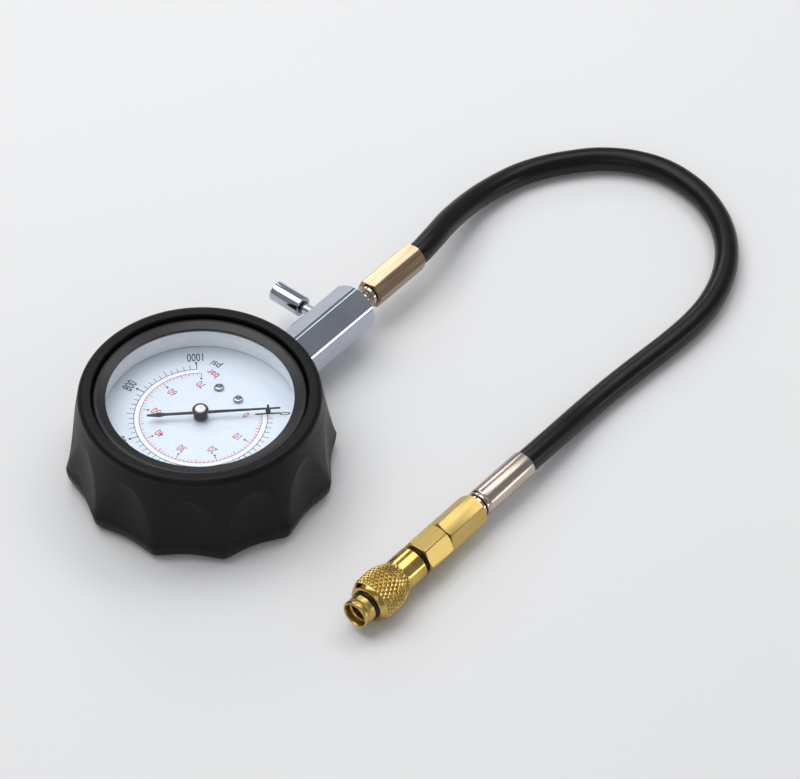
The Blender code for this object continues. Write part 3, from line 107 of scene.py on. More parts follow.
def linear(code):
    """Linear colour of an sRGB hex value."""
    parts = [int(code[k:k + 2], 16) / 255 for k in (1, 3, 5)]
    return (*[p / 12.92 if p <= 0.04045 else ((p + 0.055) / 1.055) ** 2.4 for p in parts], 1.0)


def add(tree, kind, settings, links=()):
    """Adds a node; a lower-case setting is a property, any other one an input, and links feed its inputs."""
    made = tree.nodes.new(kind)
    for name, value in settings.items():
        if isinstance(name, str) and name[0].islower():
            setattr(made, name, value)
        else:
            made.inputs[name].default_value = value
    for name, socket in dict(links).items():
        tree.links.new(socket, made.inputs[name])
    return made


def finish(name, metallic, tones, gloss, sizes, relief, draw=(1, 1, 1), settings=None):
    """A finish whose tone drifts in clouds, whose gloss changes in patches and whose skin has a fine relief.

    The sizes are those of the clouds, the patches and the relief in millimetres, the relief is its strength
    and its depth in millimetres, and draw stretches all three along an axis where it is below 1.
    """
    material = bpy.data.materials.new(name)
    material.use_nodes = True
    tree = material.node_tree
    shader = tree.nodes["Principled BSDF"]
    shader.inputs["Metallic"].default_value = metallic
    for socket, value in (settings or {}).items():
        shader.inputs[socket].default_value = value
    where = add(tree, "ShaderNodeTexCoord", {}).outputs["Object"]
    drawn = add(tree, "ShaderNodeMapping", {"Scale": draw}, {"Vector": where}).outputs["Vector"]
    cloud, patch, skin = [
        add(tree, "ShaderNodeTexNoise", {"Scale": 1 / (size * mm), "Detail": 3.0, "Roughness": 0.55},
            {"Vector": drawn}).outputs["Fac"]
        for size in sizes]
    tone = add(tree, "ShaderNodeValToRGB", {}, {"Fac": cloud})
    for stop, place, code in zip(tone.color_ramp.elements, (0.32, 0.68), tones):
        stop.position = place
        stop.color = linear(code)
    polish = add(tree, "ShaderNodeMapRange",
                 {"From Min": 0.3, "From Max": 0.7, "To Min": gloss[0], "To Max": gloss[1]}, {"Value": patch})
    bump = add(tree, "ShaderNodeBump", {"Strength": relief[0], "Distance": relief[1] * mm}, {"Height": skin})
    tree.links.new(tone.outputs["Color"], shader.inputs["Base Color"])
    tree.links.new(polish.outputs["Result"], shader.inputs["Roughness"])
    tree.links.new(bump.outputs["Normal"], shader.inputs["Normal"])
    return material


def float_glass():
    """Window glass of 2 mm: clear, with a faint green-blue in its depth, and shadow rays pass through it."""
    material = finish("clear_float_glass", 0.0, ("#fafdfd", "#fcfefe"), (0.0, 0.01), (18, 14, 20),
                      (0.02, 0.01), settings={"Transmission Weight": 1.0, "IOR": 1.45})
    tree = material.node_tree
    passing = add(tree, "ShaderNodeBsdfTransparent", {"Color": linear("#fcfdfe")})
    ray = add(tree, "ShaderNodeLightPath", {})
    both = add(tree, "ShaderNodeMixShader", {}, {0: ray.outputs["Is Shadow Ray"],
                                                 1: tree.nodes["Principled BSDF"].outputs["BSDF"],
                                                 2: passing.outputs["BSDF"]})
    tree.links.new(both.outputs["Shader"], tree.nodes["Material Output"].inputs["Surface"])
    return material


FINISH = {
    # Nitrile rubber, moulded: black with a soft, broad shine and a fine eggshell grain. The real grain of
    # about 0.2 mm is drawn as 0.5 mm, the finest that shows.
    "boot_rubber": finish("moulded_nitrile_rubber", 0.0, ("#060608", "#0b0b0e"), (0.38, 0.48), (9, 2.6, 0.5),
                          (0.22, 0.05), settings={"Specular IOR Level": 0.2}),
    # EPDM hose cover, extruded: smoother than the boot, with a satin line of light along it.
    "hose_rubber": finish("extruded_hose_rubber", 0.0, ("#060609", "#0b0b0f"), (0.28, 0.37), (7, 2.2, 0.6),
                          (0.16, 0.04), settings={"Specular IOR Level": 0.28}),
    # Seals and the window's gasket: pressed rubber with a dull skin.
    "seal_rubber": finish("pressed_seal_rubber", 0.0, ("#101011", "#1b1b1c"), (0.50, 0.62), (3, 1, 0.3),
                          (0.2, 0.03)),
    # Steel under black stove enamel: satin, with a thin bright line where an edge turns and the slow
    # waves of a sprayed coat.
    "enamel": finish("black_stove_enamel", 0.0, ("#121113", "#19181a"), (0.33, 0.38), (9, 5, 7), (0.05, 0.02),
                     settings={"Coat Weight": 0.12, "Coat Roughness": 0.22, "Specular IOR Level": 0.38}),
    # Brass under polished chrome: a cool mirror, faintly waved by the buffing wheel.
    "chrome": finish("polished_chrome_plate", 1.0, ("#b3b9c6", "#bfc5d1"), (0.06, 0.09), (14, 5, 6),
                     (0.12, 0.02)),
    # Steel under nickel gone slightly warm, drawn: streaks about 0.5 mm wide run along the piece.
    "warm_nickel": finish("drawn_warm_nickel", 1.0, ("#98826a", "#bfa488"), (0.17, 0.24), (0.7, 0.8, 0.5),
                          (0.16, 0.02), (1, 0.025, 1)),
    # The same plating on a turned piece: brighter, with faint rings left by the tool.
    "nickel": finish("turned_bright_nickel", 1.0, ("#b3a899", "#cabfb2"), (0.09, 0.15), (6, 2, 0.4),
                     (0.14, 0.01), (0.15, 1, 0.15)),
    # The same plating over a rolled shell: satin, so that the lights melt into one broad band.
    "satin_nickel": finish("rolled_satin_nickel", 1.0, ("#b3a59a", "#c6b9ae"), (0.2, 0.26), (6, 5, 3),
                           (0.04, 0.01), (1, 0.3, 1)),
    # Nickel blasted with fine beads: pale and matt, so that it stays light where a mirror would turn dark.
    "blasted_nickel": finish("bead_blasted_nickel", 1.0, ("#dcd1ce", "#e8dfdb"), (0.46, 0.56), (1, 0.8, 0.3),
                             (0.2, 0.01)),
    # Drawn brass bar, milled to flats: satin pale gold with faint streaks along it. The real streaks of
    # about 0.15 mm are drawn as 0.5 mm, the finest that shows.
    "brass": finish("milled_satin_brass", 1.0, ("#c0a55f", "#ccb26e"), (0.30, 0.34), (0.6, 1.2, 0.5),
                    (0.22, 0.02), (1, 0.04, 1)),
    # Turned and lacquered brass: a deeper mirror than the milled bar, with fine rings from the tool.
    "bright_brass": finish("turned_bright_brass", 1.0, ("#b9994f", "#cfb069"), (0.12, 0.19), (4, 1.2, 0.35),
                           (0.2, 0.012), (0.1, 1, 0.1)),
    # Aluminium sheet under pale blue-white enamel with a faint mottle.
    "dial": finish("white_dial_enamel", 0.0, ("#d4dbe8", "#dae1ec"), (0.36, 0.46), (1.4, 2, 0.5),
                   (0.08, 0.01)),
    # Spacer ring between dial and glass: moulded pale grey plastic, slightly silky.
    "pale_plastic": finish("pale_moulded_plastic", 0.0, ("#e9ebee", "#f1f2f4"), (0.44, 0.54), (3, 1.2, 0.5),
                           (0.1, 0.02)),
    # Screen-printed inks: flat, a hair uneven where the mesh laid them down.
    "ink_black": finish("black_dial_ink", 0.0, ("#121317", "#1d1e23"), (0.44, 0.56), (0.4, 0.6, 0.3),
                        (0.1, 0.01)),
    "ink_red": finish("red_dial_ink", 0.0, ("#b0323f", "#c24853"), (0.44, 0.56), (0.4, 0.6, 0.3),
                      (0.1, 0.01)),
    "ink_white": finish("white_dial_ink", 0.0, ("#e6eaf3", "#edf0f6"), (0.44, 0.56), (0.6, 0.6, 0.3),
                        (0.1, 0.01)),
    # Aluminium under satin black lacquer.
    "lacquer": finish("black_pointer_lacquer", 0.0, ("#0b0b0e", "#16161a"), (0.28, 0.40), (1, 0.8, 0.4),
                      (0.1, 0.01)),
    # Machined steel, bright-drawn: cool grey with fine tool marks.
    "steel": finish("bright_drawn_steel", 1.0, ("#8d9096", "#a9acb1"), (0.22, 0.36), (3, 1.2, 0.35),
                    (0.25, 0.015), (1, 1, 0.3)),
    # Hardened spring wire: a little darker and smoother.
    "spring_steel": finish("hard_drawn_spring_wire", 1.0, ("#85868b", "#9b9ca1"), (0.16, 0.28), (3, 1.2, 0.4),
                           (0.2, 0.008)),
    # Near-black wire. On the sleeve spring it is painted shade that stands for the dark gap between the
    # socket's hex and the pull sleeve; the snap ring under a dark phosphate coat wears it too.
    "dark_wire_and_gap_shade": finish("phosphate_ring_and_painted_gap_shade", 0.6, ("#1c1c1e", "#2a2a2c"), (0.34, 0.46), (2, 1, 0.4),
                        (0.2, 0.01)),
    # Phosphor bronze tube, annealed: brown-gold and slightly cloudy.
    "bronze": finish("annealed_phosphor_bronze", 1.0, ("#a8733c", "#c08a4e"), (0.24, 0.38), (4, 1.4, 0.5),
                     (0.25, 0.02)),
    # Copper washer, soft and rubbed.
    "copper": finish("soft_copper", 1.0, ("#b06a48", "#cb8460"), (0.22, 0.36), (2, 1, 0.4), (0.25, 0.02)),
    "glass": float_glass(),
}


# Shaping, with the turn from +Z to each axis along which a piece can lie

AXES = {
    "+Z": Matrix.Identity(4),
    "+Y": Matrix.Rotation(-math.pi / 2, 4, "X"),
    "-Y": Matrix.Rotation(math.pi / 2, 4, "X"),
    "+X": Matrix.Rotation(math.pi / 2, 4, "Y"),
}


def quarter_turn(steps):
    """Angles from nought to a right angle."""
    return [math.pi / 2 * k / steps for k in range(steps + 1)]


def lathe(profile, steps, ring=True):
    """A half profile of (radius, height) points in millimetres spun round Z.

    A ring's profile closes on itself, and any other one starts and ends on the axis.
    """
    bm = bmesh.new()
    verts = [bm.verts.new((radius * mm, 0.0, height * mm)) for radius, height in profile]
    pairs = list(zip(verts, verts[1:]))
    if ring:
        pairs.append((verts[-1], verts[0]))
    edges = [bm.edges.new(pair) for pair in pairs]
    bmesh.ops.spin(bm, geom=verts + edges, cent=(0, 0, 0), axis=(0, 0, 1), angle=math.tau, steps=steps,
                   use_merge=True)
    bmesh.ops.remove_doubles(bm, verts=bm.verts, dist=1e-6)
    bmesh.ops.recalc_face_normals(bm, faces=bm.faces)
    return bm


def turning_edges(bm, over):
    """Edges at which the surface turns by more than an angle in degrees."""
    return [e for e in bm.edges if len(e.link_faces) == 2 and e.calc_face_angle() > math.radians(over)]


def bevel(bm, edges, width, segments):
    """Rounds edges to a width in millimetres."""
    bmesh.ops.bevel(bm, geom=edges, offset=width * mm, offset_type="OFFSET", segments=segments, profile=0.5,
                    affect="EDGES", clamp_overlap=True, material=-1)


def soften(bm, width, over=30.0, segments=3):
    """Rounds every edge that turns by more than an angle."""
    bevel(bm, turning_edges(bm, over), width, segments)
    return bm


def chamfered(face, barrel, slope, length):
    """Outer outline of a bar with a chamfer at both ends, from the radii of its faces and of its barrel."""
    return [(face, 0.0), (barrel, slope), (barrel, length - slope), (face, length)]


def hexagon_bar(across, profile, turn, corner, rim=0.12, segments=2):
    """A turned barrel milled to six flats, so that the chamfers meet the flats in curves.

    Where the corners along the bar are rounder than its rims, they are rounded first.
    """
    bm = lathe(profile, 144)
    for k in range(6):
        angle = turn + math.pi * k / 3
        normal = Vector((math.cos(angle), math.sin(angle), 0))
        cut = bmesh.ops.bisect_plane(bm, geom=bm.verts[:] + bm.edges[:] + bm.faces[:], dist=1e-7,
                                     plane_co=normal * across / 2 * mm, plane_no=normal, clear_outer=True)
        opened = [e for e in cut["geom_cut"] if isinstance(e, bmesh.types.BMEdge)]
        bmesh.ops.contextual_create(bm, geom=opened)
    bmesh.ops.recalc_face_normals(bm, faces=bm.faces)
    if corner > rim:
        along = [e for e in turning_edges(bm, 20.0)
                 if abs((e.verts[0].co - e.verts[1].co).normalized().z) > 0.99]
        bevel(bm, along, corner, segments)
    soften(bm, rim, 20.0, 2)
    bmesh.ops.dissolve_degenerate(bm, edges=bm.edges, dist=2e-6)
    return bm


def box_between(low, high):
    """A block from its two corners, in millimetres."""
    bm = bmesh.new()
    low, high = Vector(low) * mm, Vector(high) * mm
    size = Matrix.Diagonal((*(high - low), 1.0))
    bmesh.ops.create_cube(bm, size=1.0, matrix=Matrix.Translation((low + high) / 2) @ size)
    return bm


def placing(at, axis="+Z", turn=0.0):
    """Matrix that puts a piece made round Z at a place in millimetres, along an axis."""
    return Matrix.Translation(Vector(at) * mm) @ AXES[axis] @ Matrix.Rotation(turn, 4, "Z")


def moved(bm, matrix):
    """Moves a whole shape."""
    bmesh.ops.transform(bm, matrix=matrix, verts=bm.verts)
    return bm


def shade(mesh, sharp):
    """Shades a mesh smooth but for the edges that turn by more than an angle in degrees."""
    mesh.shade_smooth()
    mesh.set_sharp_from_angle(angle=math.radians(sharp))
    return mesh


def mesh_of(name, bm, sharp):
    """A shaded mesh from a bmesh."""
    mesh = bpy.data.meshes.new(name)
    bm.to_mesh(mesh)
    bm.free()
    return shade(mesh, sharp)


def with_holes(name, mesh, holes, sharp):
    """A mesh with its holes cut."""
    solid = new_object("solid", mesh)
    tools = []
    for hole in holes:
        tool = new_object("tool", mesh_of("tool", hole, 30.0))
        cut = solid.modifiers.new("hole", "BOOLEAN")
        cut.operation = "DIFFERENCE"
        cut.solver = "EXACT"
        cut.object = tool
        tools.append(tool)
    seen = solid.evaluated_get(bpy.context.evaluated_depsgraph_get())
    cut_mesh = bpy.data.meshes.new_from_object(seen)
    cut_mesh.name = name
    for spare in tools + [solid]:
        bpy.data.objects.remove(spare)
    return shade(cut_mesh, sharp)


def piece(name, bm, coat, body, stands_for=(), at=(0, 0, 0), axis="+Z", sharp=13.0, holes=()):
    """Places a shape, cuts its holes, gives it its finish and shows it as a piece that rides on a body."""
    mesh = mesh_of(name, moved(bm, placing(at, axis)), sharp)
    if holes:
        mesh = with_holes(name, mesh, holes, sharp)
    obj = new_object(name, mesh)
    mesh.materials.clear()
    mesh.materials.append(FINISH[coat])
    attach(obj, body)
    for node in stands_for:
        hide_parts(node)
    return obj


def drilled(radius, low, high, at, axis):
    """A round cutter along an axis, in its place."""
    rod = lathe([(0.0, low), (radius, low), (radius, high), (0.0, high)], 72, ring=False)
    return moved(rod, placing(at, axis))


# Rubber boot

SCALLOPS = 12
SCALLOP_DEPTH = 3.2
SCALLOP_REACH = 30.0
SCALLOP_TURN = math.radians(6.0)


def finger_scallop(angle, height):
    """How far, in millimetres, a finger scallop sinks into the boot's wall at an angle and height."""
    rise = min(max(height / SCALLOP_REACH, 0.0), 1.0)
    width = 0.5 * (1.0 - rise ** 2.4) ** 0.5
    phase = ((angle - SCALLOP_TURN) * SCALLOPS / math.tau + 0.5) % 1.0 - 0.5
    if width <= 0.0 or abs(phase) >= width:
        return 0.0
    return SCALLOP_DEPTH * (1.0 - rise) ** 0.6 * (1.0 - (phase / width) ** 2) ** 1.3


def make_boot():
    """Thick cup with a rounded lip round the bezel and a flared wall with twelve finger scallops."""
    wide, narrow, mouth, pocket = 52.3, 46.4, 41.1, 39.9
    flare_low, flare_high, shoulder, floor = 7.0, 37.0, 27.2, 3.0
    lip_round, mouth_round = 2.6, 0.7
    rim = flare_high + lip_round - mouth_round
    foot = [(0.0, 0.0), (48.4, 0.0), (49.3, 0.1), (50.2, 0.5), (51.0, 1.3), (51.7, 2.6), (52.1, 4.6)]
    steps, bulge = 48, 0.8
    flare = [(wide - (wide - narrow) * (k / steps) ** bulge, flare_low + (flare_high - flare_low) * k / steps)
             for k in range(steps + 1)]
    lip = [(narrow - lip_round * (1 - math.cos(a)), flare_high + lip_round * math.sin(a))
           for a in quarter_turn(10)[1:]]
    inner = [(mouth + mouth_round * (1 - math.sin(a)), rim + mouth_round * math.cos(a))
             for a in quarter_turn(4)]
    inside = [(mouth, shoulder), (pocket, shoulder), (pocket, floor), (0.0, floor)]
    steps_per_scallop = 36
    bm = lathe(foot + flare + lip + inner + inside, SCALLOPS * steps_per_scallop, ring=False)
    outer_wall = 43.0 * mm
    for vert in bm.verts:
        radius = math.hypot(vert.co.x, vert.co.y)
        if radius < outer_wall:
            continue
        dip = finger_scallop(math.atan2(vert.co.y, vert.co.x), vert.co.z / mm) * mm
        vert.co.x *= 1 - dip / radius
        vert.co.y *= 1 - dip / radius
    stem_hole, screw_hole = 11.04, 2.8
    holes = [drilled(stem_hole, 36.0, 58.0, (0, 0, STEM_Z), "-Y")]
    for screw in ("case_screw_left", "case_screw_right"):
        x, y, _ = side_of(screw, "-Z")
        holes.append(drilled(screw_hole, 1.5, 4.0, (x, y, 0), "+Z"))
    piece("boot", bm, "boot_rubber", "base", ["rubber_boot"], sharp=50.0, holes=holes)


# Gauge head

def make_window():
    """Bezel, glass, gasket and the spacer ring between the dial and the glass."""
    bezel = [(39.9, 27.5), (40.8, 27.5), (40.8, 36.9), (40.5, 37.65), (39.8, 38.0), (38.9, 38.0),
             (38.3, 37.8), (35.7, 37.0), (35.7, 36.6), (39.9, 36.6)]
    piece("bezel", soften(lathe(bezel, 240), 0.12, 20.0, 2), "enamel", "base", ["bezel_ring"])
    glass = [(0.0, 34.3), (39.5, 34.3), (39.5, 36.3), (0.0, 36.3)]
    piece("window_glass", lathe(glass, 160, ring=False), "glass", "base", ["lens"])
    gasket = [(37.7, 33.3), (39.4, 33.3), (39.4, 34.0), (37.7, 34.0)]
    piece("window_gasket", lathe(gasket, 160), "seal_rubber", "base", ["lens_gasket"])
    spacer = [(37.4, 25.0), (38.3, 25.0), (38.3, 33.0), (37.4, 33.0)]
    piece("spacer_ring", soften(lathe(spacer, 200), 0.1), "pale_plastic", "base", ["inner_ring"])


def make_dial_screws():
    """Domed screws with a cross slot, which hold the dial on its posts."""
    dome = [(0.0, -3.4), (1.1, -3.4), (1.1, 0.0), (1.95, 0.0), (1.95, 0.25), (1.8, 0.5), (1.5, 0.72),
            (1.0, 0.86), (0.0, 0.9)]
    slot_turn = 0.3
    for side in ("left", "right"):
        x, y, _ = side_of(f"dial_screw_{side}", "+Z")
        seat = (x, y, DIAL_Z + 0.3)
        cross = [moved(box_between((-1.25, -0.24, 0.35), (1.25, 0.24, 1.5)), placing(seat, "+Z", turn))
                 for turn in (slot_turn, slot_turn + math.pi / 2)]
        piece(f"dial_screw_{side}_head", lathe(dome, 48, ring=False), "chrome", "base",
              [f"dial_screw_{side}"], seat, holes=cross)


def make_zero_pin():
    """Pin against which the pointer rests at zero, with its foot on the dial."""
    x, y, _ = side_of("stop_pin", "-Z")
    pin = [(0.0, 24.0), (0.45, 24.0), (0.45, 28.0), (0.3, 28.2), (0.0, 28.2)]
    piece("zero_pin", lathe(pin, 24, ring=False), "lacquer", "base", ["stop_pin"], (x, y, 0))
    foot = [(0.5, 24.75), (1.0, 24.75), (1.0, 25.3), (0.5, 25.3)]
    piece("zero_pin_foot", soften(lathe(foot, 32), 0.12), "lacquer", "base", (), (x, y, 0))


def make_pointer_hub():
    """Boss under the pointer, and a dished skirt over it with a slotted cap."""
    boss = [(0.95, 25.3), (2.7, 25.3), (2.7, 27.2), (0.95, 27.2)]
    piece("pointer_boss", soften(lathe(boss, 64), 0.15), "lacquer", "pointer_body")
    skirt = [(0.0, 28.1), (3.0, 28.1), (3.1, 28.3), (3.1, 29.2), (2.9, 29.6), (2.5, 29.75), (2.25, 29.7),
             (2.2, 29.3), (0.0, 29.3)]
    piece("hub_skirt", lathe(skirt, 72, ring=False), "lacquer", "pointer_body", ["pointer_hub"])
    slot = box_between((-1.3, -0.2, 29.75), (1.3, 0.2, 30.4))
    cap = [(0.0, 29.35), (2.05, 29.35), (2.05, 29.7), (1.85, 29.88), (1.2, 29.97), (0.0, 30.0)]
    piece("hub_cap", lathe(cap, 64, ring=False), "blasted_nickel", "pointer_body", holes=[slot])


# Dial printing, whose angles are clock angles in degrees. Each mark starts just inside the dial, and each
# kind of mark has its own height, so that marks of two kinds that cross don't share a plane.

ZERO = 225.0
SWEEP = 270.0
FULL_PSI = 1000
PSI_PER_BAR = 14.504
INK_UNDER = -0.02
CAPITAL_SHARE = 0.7


def on_dial(clock, radius):
    """A place on the dial, by clock angle and by radius in millimetres."""
    a = math.radians(clock)
    return radius * math.sin(a), radius * math.cos(a)


def gather(marks, bm):
    """Adds a small shape to a set of marks."""
    mesh = bpy.data.meshes.new("mark")
    bm.to_mesh(mesh)
    bm.free()
    marks.from_mesh(mesh)
    bpy.data.meshes.remove(mesh)


def tick(marks, clock, inner, outer, width):
    """A printed line that points to the dial's centre."""
    bm = box_between((-width / 2, inner, INK_UNDER), (width / 2, outer, 0.035))
    gather(marks, moved(bm, placing((0, 0, DIAL_Z), "+Z", -math.radians(clock))))


def dot(marks, clock, radius, size):
    """A printed dot at the end of a line."""
    bm = lathe([(0.0, INK_UNDER), (size, INK_UNDER), (size, 0.04), (0.0, 0.04)], 16, ring=False)
    gather(marks, moved(bm, placing((*on_dial(clock, radius), DIAL_Z))))


def word(marks, text, height, narrow, clock, radius, turn):
    """Printed characters, made a mesh first and then put in their place."""
    curve = bpy.data.curves.new("word", "FONT")
    curve.body = text
    curve.align_x = "CENTER"
    curve.align_y = "CENTER"
    curve.size = height / CAPITAL_SHARE * mm
    curve.extrude = 0.028 * mm
    curve.offset = 0.03 * mm
    curve.resolution_u = 4
    holder = new_object("word", curve)
    seen = holder.evaluated_get(bpy.context.evaluated_depsgraph_get())
    mesh = bpy.data.meshes.new_from_object(seen)
    squeeze = Matrix.Diagonal((narrow, 1.0, 1.0, 1.0))
    mesh.transform(placing((*on_dial(clock, radius), DIAL_Z + 0.01), "+Z", math.radians(turn)) @ squeeze)
    marks.from_mesh(mesh)
    bpy.data.objects.remove(holder)
    bpy.data.meshes.remove(mesh)


def arc(marks, inner, outer, span):
    """A printed arc that starts at zero and follows the scale round the dial."""
    bm = bmesh.new()
    corners = [(*on_dial(ZERO, radius), DIAL_Z + height)
               for radius, height in ((inner, INK_UNDER), (outer, INK_UNDER), (outer, 0.03), (inner, 0.03))]
    face = bm.faces.new([bm.verts.new(Vector(corner) * mm) for corner in corners])
    bmesh.ops.spin(bm, geom=[face], cent=(0, 0, 0), axis=(0, 0, -1), angle=math.radians(span), steps=180,
                   use_merge=False)
    bmesh.ops.recalc_face_normals(bm, faces=bm.faces)
    gather(marks, bm)


def print_psi(black):
    """Outer scale: 0 to 1000 psi in fifty parts."""
    for k in range(51):
        clock = ZERO + SWEEP * k / 50
        reach = 29.0 if k % 10 == 0 else 28.2 if k % 5 == 0 else 27.4
        tick(black, clock, 25.4, reach, 0.34 if k % 10 == 0 else 0.24)
        if k % 10 == 0 and k:
            dot(black, clock, 28.7, 0.5)
    for k in range(1, 6):
        clock = ZERO + SWEEP * k / 5
        upright = 180 if k == 5 else 0
        word(black, str(FULL_PSI * k // 5), 4.1, 0.6, clock, 31.9, upright - clock)
    word(black, "0", 3.9, 0.62, 226, 32.2, -45)


def print_bar(black, red):
    """Inner scale: 0 to 70 bar in seventy parts, whose last one lies just past the outer scale's end."""
    step = SWEEP * PSI_PER_BAR / FULL_PSI
    for k in range(71):
        clock = ZERO + step * k
        reach = 20.6 if k % 10 == 0 else 21.6 if k % 5 == 0 else 22.2
        tick(red, clock, reach, 23.3, 0.28 if k % 5 == 0 else 0.2)
        if k % 10 == 0:
            if k:
                dot(black, clock, 20.4, 0.42)
            word(red, str(k), 3.2, 0.72, clock, 17.3, 0)
    arc(red, 23.18, 23.42, step * 70)


def make_print():
    """Two scales and their units: psi outside in black, and bar inside in red."""
    black = bmesh.new()
    red = bmesh.new()
    white = bmesh.new()
    print_psi(black)
    print_bar(black, red)
    word(black, "psi", 3.2, 0.85, 150, 28.3, 0)
    word(red, "bar", 3.2, 0.85, 150, 23.4, 0)
    arc(black, 25.28, 25.52, SWEEP)
    arc(white, 23.6, 25.1, SWEEP + 2.0)
    tick(black, ZERO, 20.8, 30.3, 0.75)
    for name, marks, coat in (("white_print", white, "ink_white"), ("black_print", black, "ink_black"),
                              ("red_print", red, "ink_red")):
        piece(name, marks, coat, "base")


# Valve body and relief valve

def make_valve_body():
    """Hex body with milled flats and turned ends, and the hole of its relief valve."""
    across, face, barrel, slope, length = 18.6, 8.95, 10.3, 1.1, 48.0
    stem_bore, tail_bore, passage, relief_hole = 7.15, 4.3, 2.3, 3.3
    tail_depth, stem_depth = 6.9, 17.4
    bores = [(tail_bore, length), (tail_bore, length - tail_depth), (passage, length - tail_depth),
             (passage, stem_depth), (stem_bore, stem_depth)]
    profile = [(stem_bore, 0.0)] + chamfered(face, barrel, slope, length) + bores
    bm = hexagon_bar(across, profile, 0.0, corner=0.7, rim=0.2, segments=5)
    hole = drilled(relief_hole, 0.0, across, RELIEF_AT, "+X")
    piece("valve_body_hex", bm, "chrome", "base", ["valve_body"], side_of("valve_body", "+Y"), "-Y",
          holes=[hole])


def make_relief_valve():
    """Neck that is screwed into the valve body, and the push button that slides on it."""
    bush = [(1.0, 5.6), (3.0, 5.6), (3.0, 9.0), (2.2, 9.6), (2.2, 15.0), (1.9, 15.3), (1.9, 18.6),
            (2.9, 18.6), (2.9, 19.6), (1.0, 19.6)]
    piece("relief_neck", soften(lathe(bush, 64), 0.1), "chrome", "base", ["relief_bush"], RELIEF_AT, "+X")
    button = [(0.0, 29.3), (4.1, 29.3), (4.1, 15.3), (2.6, 15.3), (2.6, 16.2), (3.2, 16.2), (3.2, 26.8),
              (1.0, 26.8), (1.0, 28.5), (0.0, 28.5)]
    piece("relief_push_button", soften(lathe(button, 96, ring=False), 0.4, 40.0, 5), "chrome", "relief",
          ["relief_button"], RELIEF_AT, "+X")


# Hose with its ends

HOSE_START = (0.0, -124.4, STEM_Z)
HOSE_ROUTE = [
    (1.7, -141.0, 14.7), (5.1, -156.0, 11.8), (7.4, -175.0, 7.6), (5.6, -193.5, 5.4), (0.8, -206.3, 5.0),
    (-6.6, -217.6, 5.0), (-15.2, -227.2, 5.0), (-26.4, -234.6, 5.0), (-40.0, -238.6, 5.0),
    (-55.2, -237.6, 5.0), (-67.4, -233.2, 5.0), (-78.2, -226.2, 5.0), (-87.2, -216.6, 5.0),
    (-94.0, -205.0, 5.0), (-98.4, -191.6, 5.0), (-100.2, -177.6, 5.0), (-100.0, -162.0, 5.0),
    (-98.8, -145.0, 5.0), (-97.8, -127.0, 5.1), (-97.8, -110.0, 5.8), (-98.8, -94.0, 7.8),
]
HOSE_END = (COUPLER_X, -70.4, COUPLER_Z)
HOSE_RADIUS = 4.8
HOSE_SEAT = 4.95
TAIL_HOLE = 2.9


def hose_line():
    """The hose's centre line, a smooth curve through its route that leaves each ferrule straight."""
    start, end, lead = Vector(HOSE_START), Vector(HOSE_END), Vector((0, 6.0, 0))
    route = [start, start - lead] + [Vector(p) for p in HOSE_ROUTE] + [end - lead, end]
    padded = [route[0]] + route + [route[-1]]
    steps = 8
    line = []
    for a, b, c, d in zip(padded, padded[1:], padded[2:], padded[3:]):
        for k in range(steps):
            t = k / steps
            line.append(0.5 * ((2 * b) + (c - a) * t + (2 * a - 5 * b + 4 * c - d) * t * t
                               + (3 * b - a - 3 * c + d) * t ** 3) * mm)
    return line + [route[-1] * mm]


def make_hose():
    """Rubber hose as one curve, and its length in metres."""
    line = hose_line()
    curve = bpy.data.curves.new("hose_cover", "CURVE")
    curve.dimensions = "3D"
    curve.bevel_depth = HOSE_RADIUS * mm
    curve.bevel_resolution = 10
    curve.use_fill_caps = True
    spline = curve.splines.new("POLY")
    spline.points.add(len(line) - 1)
    for point, place in zip(spline.points, line):
        point.co = (*place, 1.0)
    spline.use_smooth = True
    curve.materials.append(FINISH["hose_rubber"])
    made = new_object("hose_cover", curve)
    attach(made, "base")
    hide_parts("hose")
    return made, sum((b - a).length for a, b in zip(line, line[1:]))


def make_valve_end():
    """Ferrule milled to six flats and the collared hose tail between it and the valve body."""
    at = side_of("ferrule_a", "+Y")
    across, face, barrel, slope, length, depth = 10.8, 5.4, 6.08, 0.35, 28.0, 25.1
    seat = [(HOSE_SEAT, length), (HOSE_SEAT, depth), (TAIL_HOLE, depth)]
    profile = [(TAIL_HOLE, 0.0)] + chamfered(face, barrel, slope, length) + seat
    bm = hexagon_bar(across, profile, math.radians(20), corner=0.15, rim=0.15)
    piece("ferrule_hex", bm, "warm_nickel", "base", ["ferrule_a"], at, "-Y")
    tail = [(1.2, -24.8), (2.6, -24.8), (2.6, 0.3), (4.5, 0.3), (4.5, 1.8), (2.6, 1.8), (2.6, 5.8),
            (4.5, 5.8), (4.5, 7.3), (4.0, 7.3), (4.0, 13.9), (1.2, 13.9)]
    piece("hose_tail_near_valve", soften(lathe(tail, 72), 0.22, 40.0), "nickel", "base", ["nipple_a"], at,
          "+Y")


def make_coupler_end():
    """Round rolled ferrule and the hose tail between it and the coupler."""
    at = side_of("ferrule_b", "+Y")
    length, depth = 28.0, 25.1
    shell = [(TAIL_HOLE, 0.0), (5.0, 0.0), (5.3, 0.15), (5.35, 0.9), (5.05, 1.3), (5.5, 1.7), (5.6, 2.4),
             (5.6, length - 1.0), (5.45, length - 0.3), (5.2, length), (HOSE_SEAT, length),
             (HOSE_SEAT, depth), (TAIL_HOLE, depth)]
    ferrule = piece("ferrule_round", soften(lathe(shell, 96), 0.06, 40.0, 2), "satin_nickel", "base",
                    ["ferrule_b"], at, "-Y")
    tail = [(1.2, -24.8), (2.6, -24.8), (2.6, 0.3), (4.7, 0.3), (4.7, 1.8), (3.6, 1.8), (3.6, 9.4),
            (1.2, 9.4)]
    tail = piece("hose_tail_near_coupler", soften(lathe(tail, 72), 0.2, 40.0), "nickel", "base", ["nipple_b"],
                 at, "+Y")
    return [ferrule, tail]


# Brass quick coupler

